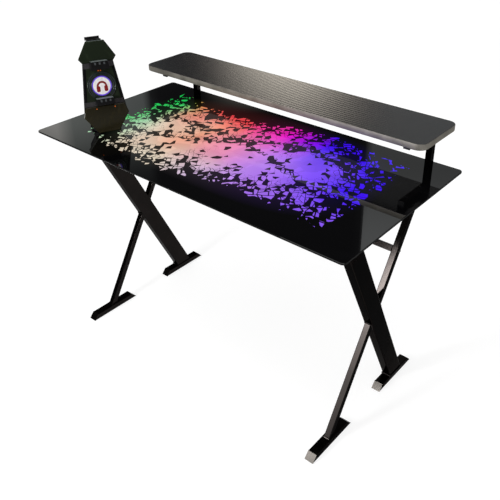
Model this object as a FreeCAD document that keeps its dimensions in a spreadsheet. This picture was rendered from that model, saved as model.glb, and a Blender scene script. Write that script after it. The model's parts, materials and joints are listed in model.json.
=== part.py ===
import FreeCAD, Part
import os
import re
import Sketcher

# Gaming desk with a lit glass top, a monitor shelf and a free-standing headset tower.
# Millimetres. Origin on the floor under the middle of the desk's outline, which the shelf draws back
# past the glass; +X right, +Y to the back, +Z up. Depths are given from the middle of the glass.

SIZES = {
    # Glass top
    "desk_width": 1200,
    "desk_depth": 600,
    "desk_height": 750,
    "glass_thickness": 6,
    "glass_corner": 12,
    "glass_arris": 0.8,
    "pad_thickness": 6,
    "pad_diameter": 14,
    "pad_inset": 9,
    # Steel tube shared by the frame
    "tube_wall": 1.5,
    "wide_corner": 2.5,
    "thin_corner": 2,
    "frame_inset": 95,
    # Feet
    "foot_length": 198,
    "foot_width": 30,
    "foot_height": 20,
    "foot_slope": 18,
    "foot_cap": 2.5,
    "front_foot_inset": 120,
    "rear_foot_inset": 117,
    "glide_thickness": 2,
    "glide_diameter": 18,
    "glide_inset": 38,
    # Crossed legs
    "wide_leg_depth": 60,
    "wide_leg_width": 30,
    "thin_leg_side": 20,
    "wide_top_inset": 150,
    "thin_top_inset": 60,
    # Rails under the glass
    "rail_width": 30,
    "rail_height": 20,
    "rail_front_inset": 40,
    "post_clearance": 5,
    "cross_depth": 40,
    "plug_cap": 3,
    "plug_depth": 6,
    "fit_gap": 0.2,
    # Stretcher between the thin legs
    "stretcher_side": 20,
    "stretcher_height": 530,
    # Frame bolts and the threaded blocks that take them
    "bolt_diameter": 6,
    "bolt_head_diameter": 10.5,
    "bolt_head_height": 3.3,
    "bolt_grip": 16,
    "bolt_spacing": 14,
    "bolt_play": 0.3,
    "block_depth": 20,
    # Light pan, diffuser and strips
    "pan_gap": 3,
    "pan_depth": 12,
    "pan_sheet": 1.2,
    "pan_lip": 14,
    "diffuser_thickness": 4,
    "diffuser_lap": 3,
    "strip_thickness": 2,
    "strip_width": 10,
    "strip_end_gap": 8,
    "pan_screw_diameter": 3,
    "pan_screw_head": 5.6,
    "pan_screw_head_height": 1.6,
    "pan_screw_length": 8,
    "pan_screw_inset": 5.5,
    # Light control box under the pan
    "box_length": 90,
    "box_depth": 46,
    "box_height": 22,
    "box_wall": 2,
    "box_end_inset": 270,
    "box_front_inset": 95,
    "cover_thickness": 2,
    "boss_diameter": 7,
    "boss_inset": 7,
    "button_diameter": 7,
    "button_flange": 9.4,
    "button_flange_thickness": 1.2,
    "button_proud": 2.4,
    "button_pitch": 16,
    "button_travel": 1,
    "button_play": 0.3,
    "switch_side": 6,
    "switch_depth": 3.5,
    "board_thickness": 1.6,
    "board_length": 70,
    "inlet_side": 12,
    "inlet_depth": 12,
    "inlet_nose": 8,
    "inlet_bore": 5.5,
    "inlet_bore_depth": 10,
    "inlet_offset": 20,
    "cover_screw_diameter": 3,
    "cover_screw_head": 5.5,
    "cover_screw_head_height": 1.8,
    "cover_screw_length": 12,
    # Monitor shelf
    "shelf_end_inset": 50,
    "shelf_depth": 206,
    "shelf_thickness": 18,
    "shelf_rise": 120,
    "shelf_overhang": 14,
    "shelf_corner": 28,
    "band_thickness": 1.2,
    "band_glue": 0.1,
    "post_side": 20,
    "post_inset": 20,
    "arm_inset": 30,
    "arm_cap": 3,
    "post_bolt_diameter": 5,
    "post_bolt_head": 9,
    "post_bolt_head_height": 2.8,
    "post_bolt_spacing": 10,
    "post_bolt_grip": 8,
    "shelf_screw_diameter": 4,
    "shelf_screw_head": 8,
    "shelf_screw_head_height": 2.5,
    "shelf_screw_bite": 12,
    "shelf_screw_inset": 28,
    # Headset tower: where it stands, its foot and its column
    "tower_end_inset": 193,
    "tower_front_inset": 143,
    "tower_turn_angle": 65,
    "tower_lean_angle": 10,
    "tower_foot_thickness": 2,
    "tower_foot_diameter": 12,
    "tower_foot_inset": 12,
    "base_thickness": 16,
    "base_half": 44,
    "base_front_half": 28,
    "base_rear_half": 32,
    "base_front": 7,
    "base_rear": 100,
    "base_chamfer_front": 18,
    "base_chamfer_rear": 16,
    "column_face": 3,
    "column_depth": 55,
    "column_hip": 70,
    "column_foot_half": 45,
    "column_hip_half": 68,
    "column_waist_half": 48.1,
    "column_taper": 14,
    "column_rim": 7,
    # Tower front: head, chin, panel and bands
    "head_top": 287.7,
    "head_wide": 236.4,
    "head_low": 222.7,
    "head_top_half": 28.6,
    "head_wide_half": 58.8,
    "head_low_half": 48.1,
    "head_proud": 2,
    "head_depth": 46,
    "head_taper": 14,
    "chin_top": 86.9,
    "chin_wide": 56.3,
    "chin_low": 2.5,
    "chin_top_half": 61.3,
    "chin_wide_half": 71.2,
    "chin_low_half": 33,
    "chin_proud": 8,
    "plate_bevel": 2,
    "panel_inset": 4,
    "upper_band_low": 206,
    "lower_band_top": 103,
    "seam": 0.3,
    # Tower hook
    "hook_width": 45,
    "hook_front": 10,
    "hook_rear": 40,
    "hook_saddle": 3.5,
    "hook_rise": 7,
    "hook_lip": 7,
    "hook_round": 1.5,
    # Controller cradles
    "cradle_top_half": 25.2,
    "cradle_low_half": 29,
    "cradle_proud": 28,
    "upper_cradle_low": 202,
    "upper_cradle_top": 228,
    "lower_cradle_low": 94,
    "lower_cradle_top": 113,
    "tooth_width": 5,
    "tooth_height": 7,
    "tooth_proud": 2,
    "tooth_pitch": 14,
    "tooth_drop": 3,
    # Lit disc and its surround
    "disc_height": 148.9,
    "lens_radius": 27,
    "lens_proud": 2,
    "ring_width": 3.2,
    "ring_proud": 1.4,
    "disc_play": 0.3,
    "surround_width": 14,
    "surround_proud": 1.2,
    "ridge_width": 2.2,
    "ridge_proud": 1.4,
    "lamp_board_thickness": 1.6,
    "lamp_board_lap": 2,
    "dot_diameter": 3,
    "dot_proud": 1,
    "dot_pitch": 7,
    "upper_dot_drop": 5.5,
    "chin_dot_drop": 7,
    "chin_dot_half": 29,
    # One overrun for every cut that passes a face
    "overrun": 1,
}

# Heights, slopes and half sizes that follow from the driving sizes.
WORKED = {
    "frame_half": "desk_width / 2 - frame_inset",
    "front_foot_reach": "desk_depth / 2 - front_foot_inset",
    "rear_foot_reach": "desk_depth / 2 - rear_foot_inset",
    "wide_top_reach": "desk_depth / 2 - wide_top_inset",
    "thin_top_reach": "desk_depth / 2 - thin_top_inset",
    "rail_front": "desk_depth / 2 - rail_front_inset",
    "rail_rear": "desk_depth / 2 + post_clearance",
    "post_half": "frame_half - post_inset",
    "shelf_length": "desk_width - 2 * shelf_end_inset",
    "shelf_top": "desk_height + shelf_rise",
    "shelf_rear": "rail_rear + post_side + shelf_overhang",
    "arm_front": "shelf_rear - shelf_depth + arm_inset",
    "box_right": "desk_width / 2 - box_end_inset",
    "box_front": "desk_depth / 2 - box_front_inset",
    "tower_left": "desk_width / 2 - tower_end_inset",
    "tower_forward": "desk_depth / 2 - tower_front_inset",
    "outline_shift": "(shelf_rear - desk_depth / 2) / 2",
    "glass_bottom": "desk_height - glass_thickness",
    "rail_top": "glass_bottom - pad_thickness",
    "rail_middle": "rail_top - rail_height / 2",
    "rail_bottom": "rail_top - rail_height",
    "rail_inner": "frame_half - rail_width / 2",
    "rail_end": "rail_rear - plug_cap",
    "foot_top": "glide_thickness + foot_height",
    "leg_rise": "rail_bottom - foot_top",
    "wide_slope": "-(wide_top_reach + rear_foot_reach) / leg_rise",
    "thin_slope": "(thin_top_reach + front_foot_reach) / leg_rise",
    "thin_angle": "atan(thin_slope)",
    "wide_stretch": "sqrt(1 + wide_slope ^ 2)",
    "thin_stretch": "sqrt(1 + thin_slope ^ 2)",
    "wide_half": "wide_leg_depth / 2 * wide_stretch",
    "wide_bore_half": "(wide_leg_depth / 2 - tube_wall) * wide_stretch",
    "thin_half": "thin_leg_side / 2 * thin_stretch",
    "thin_bore_half": "(thin_leg_side / 2 - tube_wall) * thin_stretch",
    "foot_spread": "rear_foot_reach + front_foot_reach",
    "closing": "thin_slope - wide_slope",
    "stretcher_y": "(stretcher_height - foot_top) * thin_slope - front_foot_reach",
    "stretcher_half": "frame_half - thin_leg_side / 2",
    "front_rail_y": "cross_depth / 2 - rail_front",
    "rear_rail_y": "rail_rear - cross_depth / 2",
    "pan_half": "rail_inner - pan_gap",
    "pan_front": "cross_depth - rail_front + pan_gap",
    "pan_rear": "rail_rear - cross_depth - pan_gap",
    "pan_floor": "rail_top - pan_depth",
    "pan_screw_front": "pan_front - pan_lip + pan_screw_inset",
    "pan_screw_rear": "pan_rear + pan_lip - pan_screw_inset",
    "shelf_bottom": "shelf_top - shelf_thickness",
    "shelf_middle": "shelf_rear - shelf_depth / 2",
    "post_y": "rail_rear + post_side / 2",
    "arm_length": "rail_rear - arm_front - arm_cap",
    "arm_y": "(rail_rear + arm_front + arm_cap) / 2",
    "arm_z": "shelf_bottom - post_side / 2",
    "box_bottom": "pan_floor - box_height",
    "button_back": "box_wall + button_play + button_flange_thickness",
    "switch_front": "button_back + button_travel + button_play",
    "board_front": "switch_front + switch_depth",
    "base_top": "tower_foot_thickness + base_thickness",
    "column_back": "column_face + column_depth",
    "ring_radius": "lens_radius + disc_play + ring_width",
    "disc_hole": "ring_radius + disc_play",
    "surround_radius": "disc_hole + surround_width",
}

# Places along a piece, as shares of its length, and the turns of mirrored pieces.
PAD_SHARES = (0.05, 0.36, 0.66, 0.95)
PAN_SCREW_SHARES = (-0.42, -0.15, 0.15, 0.42)
RIDGE_SHARES = (0, 0.5, 1)
SIDES = (("left", "-1"), ("right", "1"))
SHELF_SCREW_ROWS = ("arm_front + arm_cap + shelf_screw_inset", "rail_rear - shelf_screw_inset")

doc = FreeCAD.newDocument("gaming_desk")
nodes = []


def fill_sheet(name, cells):
    """A sheet with one aliased cell for each entry."""
    sheet = doc.addObject("Spreadsheet::Sheet", name)
    for row, (alias, content) in enumerate(cells.items(), start=1):
        cell = "A%d" % row
        sheet.set(cell, content)
        sheet.setAlias(cell, alias)
    doc.recompute()
    return sheet


def bind(text):
    """An expression with each size's name led by the sheet that holds it."""
    def lead(match):
        word = match.group(0)
        if word in SIZES:
            return "sizes." + word
        if word in WORKED:
            return "worked." + word
        return word
    return re.sub(r"[a-z][a-z_0-9]*", lead, text)


sizes = fill_sheet("sizes", {alias: str(number) for alias, number in SIZES.items()})
worked = fill_sheet("worked", {alias: "=" + bind(text) for alias, text in WORKED.items()})


def value(text):
    """The number that an expression gives now."""
    result = worked.evalExpression(bind(text))
    return float(getattr(result, "Value", result))


def place(item, x="0", y="0", z="0", turn=None):
    """Bind an object's placement to sizes; turn is a rotation expression."""
    turn = turn or "rotationz(0)"
    spot = "placement(vector(%s; %s - outline_shift; %s); %s)" % (x, y, z, turn)
    item.setExpression("Placement", bind(spot))
    return item


def place_on_tower(item, lean=True):
    """Set an object, drawn in the tower's own frame, where the tower stands and leans back."""
    turn = "rotationz(tower_turn_angle)"
    if lean:
        turn += " * rotationx(-tower_lean_angle)"
    return place(item, "-tower_left", "-tower_forward", "desk_height", turn)


def node(item, label):
    """Keep an object as a sub-part under its label."""
    item.Label = label
    nodes.append(item)
    return item


def group(label, items):
    """Several like solids kept as one sub-part."""
    bundle = doc.addObject("Part::Compound", label)
    bundle.Links = items
    return node(bundle, label)


def new_sketch(body, plane, offset="0"):
    """A sketch on one of the body's origin planes, moved along the plane's normal."""
    sketch = body.newObject("Sketcher::SketchObject", body.Name + "_sketch")
    support = [item for item in body.Origin.OriginFeatures if item.Role == plane][0]
    sketch.AttachmentSupport = [(support, "")]
    sketch.MapMode = "FlatFace"
    sketch.setExpression("AttachmentOffset.Base.z", bind(offset))
    return sketch


def pin_point(sketch, shape, corner, point):
    """Hold one point of a sketch at bound distances from the sketch's origin."""
    for kind, text in zip(("DistanceX", "DistanceY"), point):
        rule = sketch.addConstraint(Sketcher.Constraint(kind, -1, 1, shape, corner, value(text)))
        sketch.setExpression("Constraints[%d]" % rule, bind(text))


def outline(sketch, points):
    """A closed outline of straight edges through bound points."""
    first = sketch.GeometryCount
    spots = [FreeCAD.Vector(value(x), value(y), 0) for x, y in points]
    count = len(spots)
    for step in range(count):
        sketch.addGeometry(Part.LineSegment(spots[step], spots[(step + 1) % count]), False)
    for step in range(count):
        following = first + (step + 1) % count
        sketch.addConstraint(Sketcher.Constraint("Coincident", first + step, 2, following, 1))
    for step, point in enumerate(points):
        pin_point(sketch, first + step, 1, point)


def rectangle(sketch, left, right, low, high):
    outline(sketch, [(left, low), (right, low), (right, high), (left, high)])


def circles(sketch, places, diameter):
    for x, y in places:
        centre = FreeCAD.Vector(value(x), value(y), 0)
        radius = value("(%s) / 2" % diameter)
        shape = sketch.addGeometry(Part.Circle(centre, FreeCAD.Vector(0, 0, 1), radius), False)
        rule = sketch.addConstraint(Sketcher.Constraint("Radius", shape, radius))
        sketch.setExpression("Constraints[%d]" % rule, bind("(%s) / 2" % diameter))
        pin_point(sketch, shape, 3, (x, y))


def mirrored(half):
    """A full outline from its right half, listed from bottom to top."""
    left = [("-(%s)" % x, z) for x, z in reversed(half)]
    return list(half) + left


def new_body(name):
    return doc.addObject("PartDesign::Body", name)


def pad(body, sketch, length, both=False, reverse=False):
    feature = body.newObject("PartDesign::Pad", body.Name + "_pad")
    feature.Profile = sketch
    feature.setExpression("Length", bind(length))
    feature.SideType = "Symmetric" if both else "One side"
    feature.Reversed = reverse
    doc.recompute()
    return feature


def pocket(body, sketch, length=None, both=False, reverse=False):
    """A cut from a sketch, right through both ways when no length is given."""
    before = body.Shape.Volume
    feature = body.newObject("PartDesign::Pocket", body.Name + "_pocket")
    feature.Profile = sketch
    if length is None:
        feature.Type = "ThroughAll"
        both = True
    else:
        feature.setExpression("Length", bind(length))
    feature.SideType = "Symmetric" if both else "One side"
    feature.Reversed = reverse
    doc.recompute()
    if body.Shape.Volume >= before:
        raise ValueError("a pocket of %s cuts nothing" % body.Name)
    return feature


def drill(body, plane, places, diameter, length=None, offset="0", reverse=False):
    sketch = new_sketch(body, plane, offset)
    circles(sketch, places, diameter)
    return pocket(body, sketch, length, reverse=reverse)


def edges_where(shape, test):
    """Names of the edges whose middle and direction pass a test; a closed edge has no direction."""
    names = []
    for number, edge in enumerate(shape.Edges, start=1):
        run = edge.Vertexes[-1].Point - edge.Vertexes[0].Point
        way = run.normalize() if run.Length > 0 else run
        if test(edge.CenterOfMass, way):
            names.append("Edge%d" % number)
    return names


def round_edges(body, radius, test, kind="Fillet"):
    """Fillet or chamfer the edges of the body's last feature that pass a test."""
    base = body.Tip
    names = edges_where(base.Shape, test)
    if not names:
        raise ValueError("no edge of %s to round" % body.Name)
    feature = body.newObject("PartDesign::" + kind, body.Name + "_" + kind.lower())
    feature.Base = (base, names)
    feature.setExpression("Radius" if kind == "Fillet" else "Size", bind(radius))
    doc.recompute()
    return feature


def upright(middle, direction):
    return abs(direction.z) > 0.999


def corner_edges(body, axis):
    """A test for the edges along one axis at the outer corners of a body's box."""
    box = body.Shape.BoundBox
    reach = (box.XLength / 2, box.YLength / 2, box.ZLength / 2)
    centre = box.Center

    def at_corner(middle, direction):
        along = abs(direction[axis]) > 0.999
        others = [side for side in range(3) if side != axis]
        return along and all(abs(abs(middle[side] - centre[side]) - reach[side]) < 1e-4 for side in others)
    return at_corner


def tube(name, plane, wide, tall, corner, length):
    """A hollow rectangular tube about its own middle, its length square to the plane."""
    axis = {"YZ_Plane": 0, "XZ_Plane": 1, "XY_Plane": 2}[plane]
    body = new_body(name)
    sketch = new_sketch(body, plane)
    rectangle(sketch, "-(%s) / 2" % wide, "(%s) / 2" % wide, "-(%s) / 2" % tall, "(%s) / 2" % tall)
    bore_x = "((%s) / 2 - tube_wall)" % wide
    bore_y = "((%s) / 2 - tube_wall)" % tall
    rectangle(sketch, "-" + bore_x, bore_x, "-" + bore_y, bore_y)
    pad(body, sketch, length, both=True)
    round_edges(body, corner, corner_edges(body, axis))
    return body


def block(name, length, width, height):
    """A plain box about the middle of its underside."""
    body = new_body(name)
    sketch = new_sketch(body, "XY_Plane")
    rectangle(sketch, "-(%s) / 2" % length, "(%s) / 2" % length, "-(%s) / 2" % width, "(%s) / 2" % width)
    pad(body, sketch, height)
    return body


def disc(name, diameter, height):
    item = doc.addObject("Part::Cylinder", name)
    item.setExpression("Radius", bind("(%s) / 2" % diameter))
    item.setExpression("Height", bind(height))
    return item


def screw(name, head, head_height, shank, length):
    """A domed screw, head up from the origin and shank down from it."""
    body = new_body(name)
    sketch = new_sketch(body, "XZ_Plane")
    head_radius = "(%s) / 2" % head
    shank_radius = "(%s) / 2" % shank
    outline(sketch, [
        ("0", "-(%s)" % length), (shank_radius, "-(%s)" % length), (shank_radius, "0"),
        (head_radius, "0"), (head_radius, "(%s) / 2" % head_height),
        (shank_radius, head_height), ("0", head_height)])
    turned = body.newObject("PartDesign::Revolution", name + "_turned")
    turned.Profile = sketch
    turned.ReferenceAxis = (sketch, ["V_Axis"])
    turned.Angle = 360
    doc.recompute()
    return body


def plate(name, half, face, thickness, bevel=None):
    """A tower plate: half outline mirrored, from its back face forwards, bevelled in front."""
    body = new_body(name)
    sketch = new_sketch(body, "XZ_Plane", "-(%s)" % face)
    outline(sketch, mirrored(half))
    pad(body, sketch, thickness)
    if bevel:
        front = body.Shape.BoundBox.YMin
        round_edges(body, bevel, lambda middle, way: abs(middle.y - front) < 1e-4, "Chamfer")
    return body


def glass_top():
    body = new_body("glass_top")
    sketch = new_sketch(body, "XY_Plane")
    rectangle(sketch, "-desk_width / 2", "desk_width / 2", "-desk_depth / 2", "desk_depth / 2")
    pad(body, sketch, "glass_thickness")
    round_edges(body, "glass_corner", upright)
    round_edges(body, "glass_arris", lambda middle, way: abs(way.z) < 0.001, "Chamfer")
    node(place(body, z="glass_bottom"), "glass_top")


def glass_pads():
    """Rubber pads between the side rails and the glass."""
    pads = []
    rail = "(rail_front + rail_rear)"
    for side, sign in SIDES:
        for step, share in enumerate(PAD_SHARES):
            item = disc("glass_pad_%s_%d" % (side, step), "pad_diameter", "pad_thickness")
            x = sign + " * (frame_half + rail_width / 2 - pad_inset)"
            pads.append(place(item, x, "%g * %s - rail_front" % (share, rail), "rail_top"))
    group("glass_pads", pads)


def light_pan():
    """A shallow sheet pan hung by its lip on the four rails."""
    body = new_body("light_pan")
    walls = new_sketch(body, "XY_Plane")
    rectangle(walls, "-pan_half", "pan_half", "pan_front", "pan_rear")
    pad(body, walls, "pan_depth")
    lip = new_sketch(body, "XY_Plane", "pan_depth")
    rectangle(lip, "-pan_half - pan_lip", "pan_half + pan_lip", "pan_front - pan_lip", "pan_rear + pan_lip")
    pad(body, lip, "pan_sheet")
    well = new_sketch(body, "XY_Plane", "pan_sheet")
    rectangle(well, "pan_sheet - pan_half", "pan_half - pan_sheet",
              "pan_front + pan_sheet", "pan_rear - pan_sheet")
    pocket(body, well, "pan_depth + overrun", reverse=True)
    drill(body, "XY_Plane", pan_screw_places("0"), "pan_screw_diameter + 2 * bolt_play")
    node(place(body, z="pan_floor"), "light_pan")


def pan_screw_places(middle_y):
    """Screw places on the pan's front and rear lips, about a given middle line."""
    rows = ("pan_screw_front", "pan_screw_rear")
    return [("%g * pan_half * 2" % share, "%s - (%s)" % (row, middle_y))
            for row in rows for share in PAN_SCREW_SHARES]


def pan_screws():
    screws = []
    for step, (x, y) in enumerate(pan_screw_places("0")):
        item = screw("pan_screw_%d" % step, "pan_screw_head", "pan_screw_head_height",
                     "pan_screw_diameter", "pan_screw_length")
        screws.append(place(item, x, y, "rail_top + pan_sheet"))
    group("pan_screws", screws)


def light_diffuser():
    body = new_body("light_diffuser")
    sketch = new_sketch(body, "XY_Plane")
    rectangle(sketch, "-pan_half - diffuser_lap", "pan_half + diffuser_lap",
              "pan_front - diffuser_lap", "pan_rear + diffuser_lap")
    pad(body, sketch, "diffuser_thickness")
    node(place(body, z="rail_top + pan_sheet"), "light_diffuser")


def led_strips():
    """Light strips on edge along the four inner walls of the pan."""
    inner = "(pan_half - pan_sheet)"
    long_run = "2 * (%s - strip_end_gap)" % inner
    short_run = "pan_rear - pan_front - 2 * (pan_sheet + strip_end_gap)"
    middle = "(pan_front + pan_rear) / 2"
    half = "strip_thickness / 2"
    lines = (
        ("front", long_run, "strip_thickness", "0", "pan_front + pan_sheet + " + half),
        ("rear", long_run, "strip_thickness", "0", "pan_rear - pan_sheet - " + half),
        ("left", "strip_thickness", short_run, "%s - %s" % (half, inner), middle),
        ("right", "strip_thickness", short_run, "%s - %s" % (inner, half), middle),
    )
    strips = []
    for name, length, width, x, y in lines:
        item = block("led_strip_" + name, length, width, "strip_width")
        strips.append(place(item, x, y, "pan_floor + pan_sheet"))
    group("led_strips", strips)


def side_rails():
    """Rails that carry the glass, drilled for the bolts of the cross rails."""
    length = "rail_front + rail_end"
    middle = "(rail_end - rail_front) / 2"
    for side, sign in SIDES:
        body = tube("side_rail_" + side, "XZ_Plane", "rail_width", "rail_height", "wide_corner", length)
        holes = [("%s + %s - (%s)" % (rail, shift, middle), "0")
                 for rail in ("front_rail_y", "rear_rail_y")
                 for shift in ("bolt_spacing / 2", "-bolt_spacing / 2")]
        drill(body, "YZ_Plane", holes, "bolt_diameter + 2 * bolt_play")
        node(place(body, sign + " * frame_half", middle, "rail_middle"), "side_rail_" + side)


def cross_rails():
    """Front and rear rails between the side rails, drilled in their tops for the pan's screws."""
    for name, y in (("front_rail", "front_rail_y"), ("rear_rail", "rear_rail_y")):
        body = tube(name, "YZ_Plane", "cross_depth", "rail_height", "thin_corner", "2 * rail_inner")
        row = "pan_screw_front" if name == "front_rail" else "pan_screw_rear"
        tops = [("%g * pan_half * 2" % share, "%s - %s" % (row, y)) for share in PAN_SCREW_SHARES]
        drill(body, "XY_Plane", tops, "pan_screw_diameter + 2 * bolt_play",
              "tube_wall + overrun", "rail_height / 2")
        if name == "rear_rail":
            backs = [("%s * post_half" % sign, shift) for _, sign in SIDES
                     for shift in ("post_bolt_spacing / 2", "-post_bolt_spacing / 2")]
            drill(body, "XZ_Plane", backs, "post_bolt_diameter + 2 * bolt_play",
                  "tube_wall + overrun", "-cross_depth / 2", reverse=True)
        node(place(body, y=y, z="rail_middle"), name)


def stretcher():
    """The tube between the thin legs, turned flush with their faces."""
    body = tube("stretcher", "YZ_Plane", "stretcher_side", "stretcher_side", "thin_corner",
                "2 * stretcher_half")
    node(place(body, "0", "stretcher_y", "stretcher_height", "rotationx(-thin_angle)"), "stretcher")


def threaded_blocks():
    """Blocks pressed into the ends of the cross rails and stretcher, bored for their bolts."""
    blocks = []
    bore = "bolt_diameter + 2 * bolt_play"
    shrink = " - 2 * (tube_wall + fit_gap)"
    for name, y in (("front", "front_rail_y"), ("rear", "rear_rail_y")):
        for side, sign in SIDES:
            body = new_body("rail_block_%s_%s" % (name, side))
            sketch = new_sketch(body, "YZ_Plane")
            wide, tall = "(cross_depth%s) / 2" % shrink, "(rail_height%s) / 2" % shrink
            rectangle(sketch, "-" + wide, wide, "-" + tall, tall)
            circles(sketch, [("bolt_spacing / 2", "0"), ("-bolt_spacing / 2", "0")], bore)
            pad(body, sketch, "block_depth", both=True)
            middle = "(rail_inner - block_depth / 2)"
            if name == "rear":
                taps = [("%s * (post_half - %s)" % (sign, middle), shift)
                        for shift in ("post_bolt_spacing / 2", "-post_bolt_spacing / 2")]
                drill(body, "XZ_Plane", taps, "post_bolt_diameter + 2 * bolt_play",
                      "post_bolt_grip", "-" + wide, reverse=True)
            blocks.append(place(body, "%s * %s" % (sign, middle), y, "rail_middle"))
    for side, sign in SIDES:
        body = new_body("stretcher_block_" + side)
        sketch = new_sketch(body, "YZ_Plane")
        half = "(stretcher_side%s) / 2" % shrink
        rectangle(sketch, "-" + half, half, "-" + half, half)
        circles(sketch, [("0", "0")], bore)
        pad(body, sketch, "block_depth", both=True)
        blocks.append(place(body, "%s * (stretcher_half - block_depth / 2)" % sign,
                            "stretcher_y", "stretcher_height", "rotationx(-thin_angle)"))
    group("threaded_blocks", blocks)


def frame_bolts():
    """Bolts driven inwards through the side rails and the thin legs."""
    bolts = []
    for side, sign in SIDES:
        inwards = "rotationy(90 * %s)" % sign
        for rail in ("front_rail_y", "rear_rail_y"):
            for step, shift in enumerate(("bolt_spacing / 2", "-bolt_spacing / 2")):
                item = screw("bolt_%s_%s_%d" % (rail, side, step), "bolt_head_diameter", "bolt_head_height",
                             "bolt_diameter", "rail_width + bolt_grip")
                x = "%s * (frame_half + rail_width / 2)" % sign
                bolts.append(place(item, x, "%s + %s" % (rail, shift), "rail_middle", inwards))
        item = screw("stretcher_bolt_" + side, "bolt_head_diameter", "bolt_head_height",
                     "bolt_diameter", "thin_leg_side + bolt_grip")
        x = "%s * (frame_half + thin_leg_side / 2)" % sign
        bolts.append(place(item, x, "stretcher_y", "stretcher_height", inwards))
    group("frame_bolts", bolts)


def leg(name, outer, bore, width, corner, slope):
    """A slanted tube from its side outline, hollowed by the outline of its bore."""
    body = new_body(name)
    side = new_sketch(body, "YZ_Plane")
    outline(side, outer)
    pad(body, side, width, both=True)
    lean = FreeCAD.Vector(0, value(slope), 1).normalize()
    round_edges(body, corner, lambda middle, way: abs(way.dot(lean)) > 0.9999)
    hollow = new_sketch(body, "YZ_Plane")
    outline(hollow, bore)
    pocket(body, hollow, "%s - 2 * tube_wall" % width, both=True)
    return body


def wide_legs():
    """Broad tubes from the rear feet up and forwards to the side rails."""
    def side_outline(half):
        return [("rear_foot_reach - " + half, "foot_top"), ("rear_foot_reach + " + half, "foot_top"),
                (half + " - wide_top_reach", "rail_bottom"), ("-wide_top_reach - " + half, "rail_bottom")]
    for side, sign in SIDES:
        body = leg("wide_leg_" + side, side_outline("wide_half"), side_outline("wide_bore_half"),
                   "wide_leg_width", "wide_corner", "wide_slope")
        node(place(body, sign + " * frame_half"), "wide_leg_" + side)


def thin_edge(rise, half):
    """A point of a thin leg's edge at a rise above the feet."""
    return ("%s * thin_slope - front_foot_reach + %s" % (rise, half), "foot_top + " + rise)


def meeting_rise(face, half):
    """The rise at which a thin leg's edge meets a face of the wide leg."""
    return "((foot_spread + (%s) - (%s)) / closing)" % (face, half)


def thin_legs():
    """Slim tubes in one line, cut in two where the wide leg passes."""
    def lower_outline(half):
        low, high = "-" + half, half
        return [thin_edge("0", low), thin_edge("0", high),
                thin_edge(meeting_rise("-wide_half", high), high),
                thin_edge(meeting_rise("-wide_half", low), low)]

    def upper_outline(half):
        low, high = "-" + half, half
        return [thin_edge(meeting_rise("wide_half", low), low),
                thin_edge(meeting_rise("wide_half", high), high),
                thin_edge("leg_rise", high), thin_edge("leg_rise", low)]
    for side, sign in SIDES:
        for part, shape in (("lower", lower_outline), ("upper", upper_outline)):
            label = "thin_leg_%s_%s" % (part, side)
            body = leg(label, shape("thin_half"), shape("thin_bore_half"),
                       "thin_leg_side", "thin_corner", "thin_slope")
            if part == "upper":
                drill(body, "YZ_Plane", [("stretcher_y", "stretcher_height")],
                      "bolt_diameter + 2 * bolt_play")
            node(place(body, sign + " * frame_half"), label)


FEET = (("front", "-front_foot_reach"), ("rear", "rear_foot_reach"))


def feet():
    """Floor bars with sloped ends, their caps and the glides under them."""
    caps = []
    glides = []
    end = "foot_length / 2"
    for side, sign in SIDES:
        for name, y in FEET:
            label = "foot_%s_%s" % (name, side)
            body = new_body(label)
            sketch = new_sketch(body, "YZ_Plane")
            outline(sketch, [("foot_cap - " + end, "0"), (end + " - foot_cap", "0"),
                             (end + " - foot_cap - foot_slope", "foot_height"),
                             ("foot_cap + foot_slope - " + end, "foot_height")])
            pad(body, sketch, "foot_width", both=True)
            reach = value("foot_width") / 2
            round_edges(body, "thin_corner",
                        lambda middle, way: abs(way.y) > 0.999 and abs(abs(middle.x) - reach) < 1e-4)
            bore = new_sketch(body, "YZ_Plane")
            rectangle(bore, "-" + end, end, "tube_wall", "foot_height - tube_wall")
            pocket(body, bore, "foot_width - 2 * tube_wall", both=True)
            node(place(body, sign + " * frame_half", y, "glide_thickness"), label)
            for way in ("-1", "1"):
                count = len(caps)
                cap = new_body("foot_cap_%d" % count)
                face = new_sketch(cap, "YZ_Plane")
                outline(face, [("%s * (%s - foot_cap)" % (way, end), "0"), ("%s * %s" % (way, end), "0"),
                               ("%s * (%s - foot_slope)" % (way, end), "foot_height"),
                               ("%s * (%s - foot_slope - foot_cap)" % (way, end), "foot_height")])
                pad(cap, face, "foot_width", both=True)
                caps.append(place(cap, sign + " * frame_half", y, "glide_thickness"))
                glide = disc("foot_glide_%d" % count, "glide_diameter", "glide_thickness")
                glide_y = "%s + %s * (%s - glide_inset)" % (y, way, end)
                glides.append(place(glide, sign + " * frame_half", glide_y))
    group("foot_caps", caps)
    group("foot_glides", glides)


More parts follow.
